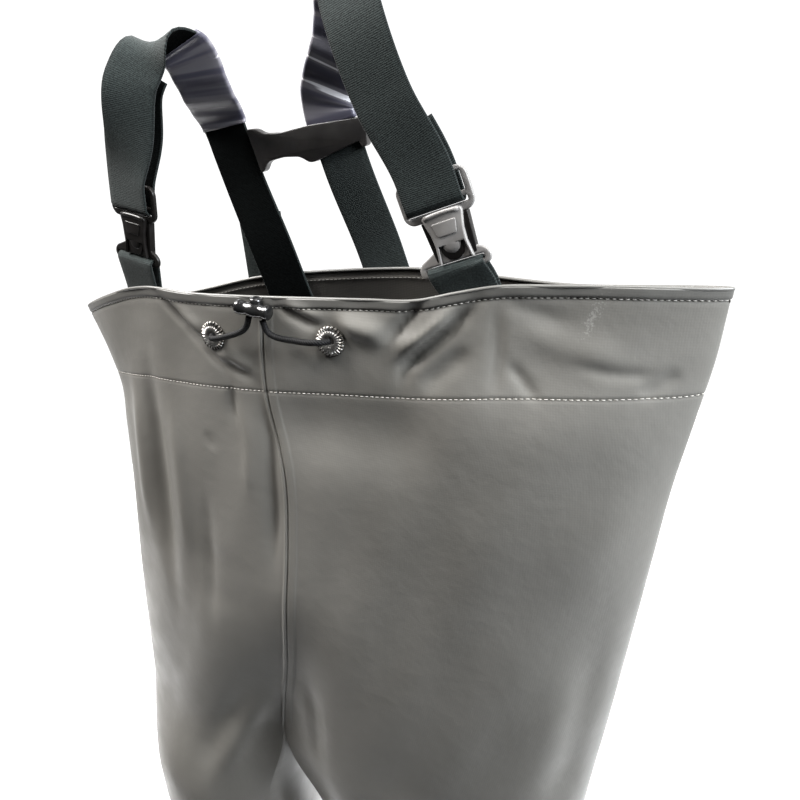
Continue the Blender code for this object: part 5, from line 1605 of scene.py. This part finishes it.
def groove_tool(side):
    """The form of the grooves under one sole: straight below the heel, pointed below the toes."""
    bm = bmesh.new()
    half, reach = GROOVE_WIDTH / 2, GROOVE_REACH
    for y in HEEL_GROOVES + TOE_GROOVES:
        point = CHEVRON if y in TOE_GROOVES else 0.0
        roof = sole_face((BOOT[0].heel - y) / (BOOT[0].heel - BOOT[0].toe), "bottom") + GROOVE_DEPTH
        plan = [(-reach, y + point + half), (0, y + half), (reach, y + point + half),
                (reach, y + point - half), (0, y - half), (-reach, y + point - half)]
        low, high = [[bm.verts.new((side * BOOT_X + px, py, z)) for px, py in plan] for z in (-0.01, roof)]
        for k in range(len(plan)):
            after = (k + 1) % len(plan)
            bm.faces.new((low[k], low[after], high[after], high[k]))
        bm.faces.new(low)
        bm.faces.new(high)
    bmesh.ops.recalc_face_normals(bm, faces=bm.faces)
    mesh = bpy.data.meshes.new("grooves")
    bm.to_mesh(mesh)
    bm.free()
    return add_object("grooves", mesh)


def make_outsole(name, side, finish):
    """Cleated outsole with a stepped side."""
    levels = []
    for step in SOLE_SIDE:
        x, y, station = sole_outline(SOLE_EDGE + step.out)
        top, bottom = sole_face(station, "top"), sole_face(station, "bottom")
        levels.append((x, y, bottom + (top - bottom) * step.share))
    sole = slab("outsole_" + name + "_cleated", side, levels, finish)
    carve(sole, groove_tool(side))
    sole.data.set_sharp_from_angle(angle=math.radians(32))
    edge = sole.modifiers.new("edge", "BEVEL")
    edge.width = CLEAT_EDGE
    edge.segments = 2
    edge.limit_method = "ANGLE"
    edge.angle_limit = math.radians(50)
    return settle(sole, "sole", "outsole_" + name)


def make_insole(name, side, finish):
    """Felt insole that lies on the outsole."""
    inset = -(BOOT_WALL + INSOLE_ROOM)
    levels = []
    for lift, shrink in ((0.0, 0.0004), (0.001, 0.0), (INSOLE - 0.001, 0.0), (INSOLE, 0.0008)):
        x, y, station = sole_outline(inset - shrink)
        levels.append((x, y, sole_face(station, "top") + GAP + lift))
    insole = slab("insole_" + name + "_felt", side, levels, finish)
    return settle(insole, "insole", "insole_" + name)


# Studio
def make_camera():
    """The photograph's camera."""
    data = bpy.data.cameras.new("camera")
    data.lens = CAMERA_LENS
    data.sensor_width = 36.0
    data.clip_start = 0.01
    camera = add_object("camera", data)
    camera.location = CAMERA_PLACE
    camera.rotation_euler = (math.radians(90 - CAMERA_PITCH), 0.0, math.radians(CAMERA_YAW))
    bpy.context.scene.camera = camera


def make_light(name, place, target, size, power, colour):
    """A square soft light aimed at a target."""
    data = bpy.data.lights.new(name, "AREA")
    data.size = size
    data.energy = power
    data.color = colour
    light = add_object(name, data)
    light.location = place
    light.rotation_euler = (Vector(target) - Vector(place)).to_track_quat("-Z", "Y").to_euler()


def make_room():
    """Surroundings that are dim in front of the waders and white behind them."""
    world = bpy.data.worlds.new("studio")
    bpy.context.scene.world = world
    world.use_nodes = True
    tree = world.node_tree
    background = tree.nodes["Background"]
    toward_back = axes_of(tree, add_node(tree, "ShaderNodeTexCoord").outputs["Generated"])[1]
    tint(tree, background, "Color", math_node(tree, "MULTIPLY_ADD", toward_back, 0.5, 0.5), *ROOM_STOPS)
    background.inputs["Strength"].default_value = ROOM_STRENGTH


def make_floor():
    """Pale floor with a faint uneven tone, which glows a little."""
    finish, tree, shader = principled("floor", (0.86, 0.86, 0.86), 0.7)
    tint(tree, shader, "Base Color", noise(tree, coordinates(tree, "Object"), 2.0), (0.3, 0.85), (0.7, 0.88))
    shader.inputs["Emission Color"].default_value = (1.0, 1.0, 1.0, 1.0)
    shader.inputs["Emission Strength"].default_value = FLOOR_GLOW
    bpy.ops.mesh.primitive_plane_add(size=FLOOR_SIZE, location=FLOOR_PLACE)
    floor = bpy.context.object
    floor.name = "floor"
    floor.data.materials.append(finish)


def make_studio():
    """The camera, the room, the floor and the lights."""
    bpy.context.scene.view_settings.view_transform = "Standard"
    make_camera()
    make_room()
    make_floor()
    for light in LIGHTS:
        make_light(*light)


def make_garment():
    """The cloth body with its hem and rows of stitches."""
    cloth = cloth_material()
    thread = thread_material("thread", (0.26, 0.25, 0.23), (0.46, 0.44, 0.40))
    # painted shade: a darker copy of the thread for the stitches seen inside the bib
    thread_inside_shaded = thread_material("thread_inside_shaded", (0.070, 0.066, 0.060), (0.130, 0.124, 0.112))
    body = make_body(cloth, backing_material())
    find = surface_finder(body)
    hem = [make_rim_roll(cloth)]
    hem.append(make_stitches("rim_stitches", RIM_STITCH, find, thread))
    hem.append(make_stitches("rim_stitches_inside", RIM_STITCH, find, thread_inside_shaded, inside=True))
    hem.append(make_stitches("casing_stitches", CASING_STITCH, find, thread))


def make_fittings():
    """The eyelets, braces, loops, buckles, boots and soles of both sides, then the tab, sleeves and yoke."""
    webbing = webbing_material("webbing", (0.007, 0.010, 0.010), (0.021, 0.028, 0.027), 0.08)
    # painted shade: a near-black copy of the webbing for the inner face of the right brace, which lies in
    # shade
    webbing_inside_shaded = webbing_material(
        "webbing_inside_shaded", (0.0008, 0.0010, 0.0010), (0.0028, 0.0034, 0.0034), 0.004)
    grey = plastic_material("grey_plastic", (0.145, 0.139, 0.135), (0.222, 0.214, 0.206), 0.36)
    black = plastic_material("black_plastic", (0.010, 0.009, 0.009), (0.022, 0.020, 0.019), 0.40)
    dark = plastic_material("dark_plastic", (0.005, 0.0045, 0.0042), (0.010, 0.009, 0.0085), 0.36, 0.22)
    boot = rubber_material("boot_pvc", (0.040, 0.045, 0.037), (0.075, 0.083, 0.068), 0.46, 900.0)
    rubber = rubber_material("sole_rubber", (0.016, 0.016, 0.015), (0.038, 0.037, 0.034), 0.66, 1300.0)
    film, metal, felt = film_material(), metal_material(), felt_material()
    for name, side in SIDES.items():
        make_eyelet(name, metal)
        make_brace(name, webbing, webbing if name == "left" else webbing_inside_shaded)
        make_loop(name, webbing)
        make_buckle(name, grey if name == "left" else dark, dark)
        make_boot(name, side, boot)
        make_cuff_tape(name, side, boot)
        make_outsole(name, side, rubber)
        make_insole(name, side, felt)
    make_outer_tab(webbing)
    for name in SLEEVES:
        make_sleeve(name, film)
    make_yoke(black)


def main():
    """Dress the waders and set the studio."""
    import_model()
    make_studio()
    gloss = plastic_material("gloss_plastic", (0.006, 0.006, 0.006), (0.012, 0.012, 0.012), 0.16)
    lock_pieces = make_cord_lock(gloss)
    braid = cord_material()
    for name in SIDES:
        make_drawcord(name, braid)
    make_garment()
    make_fittings()
    bpy.context.view_layer.update()


main()
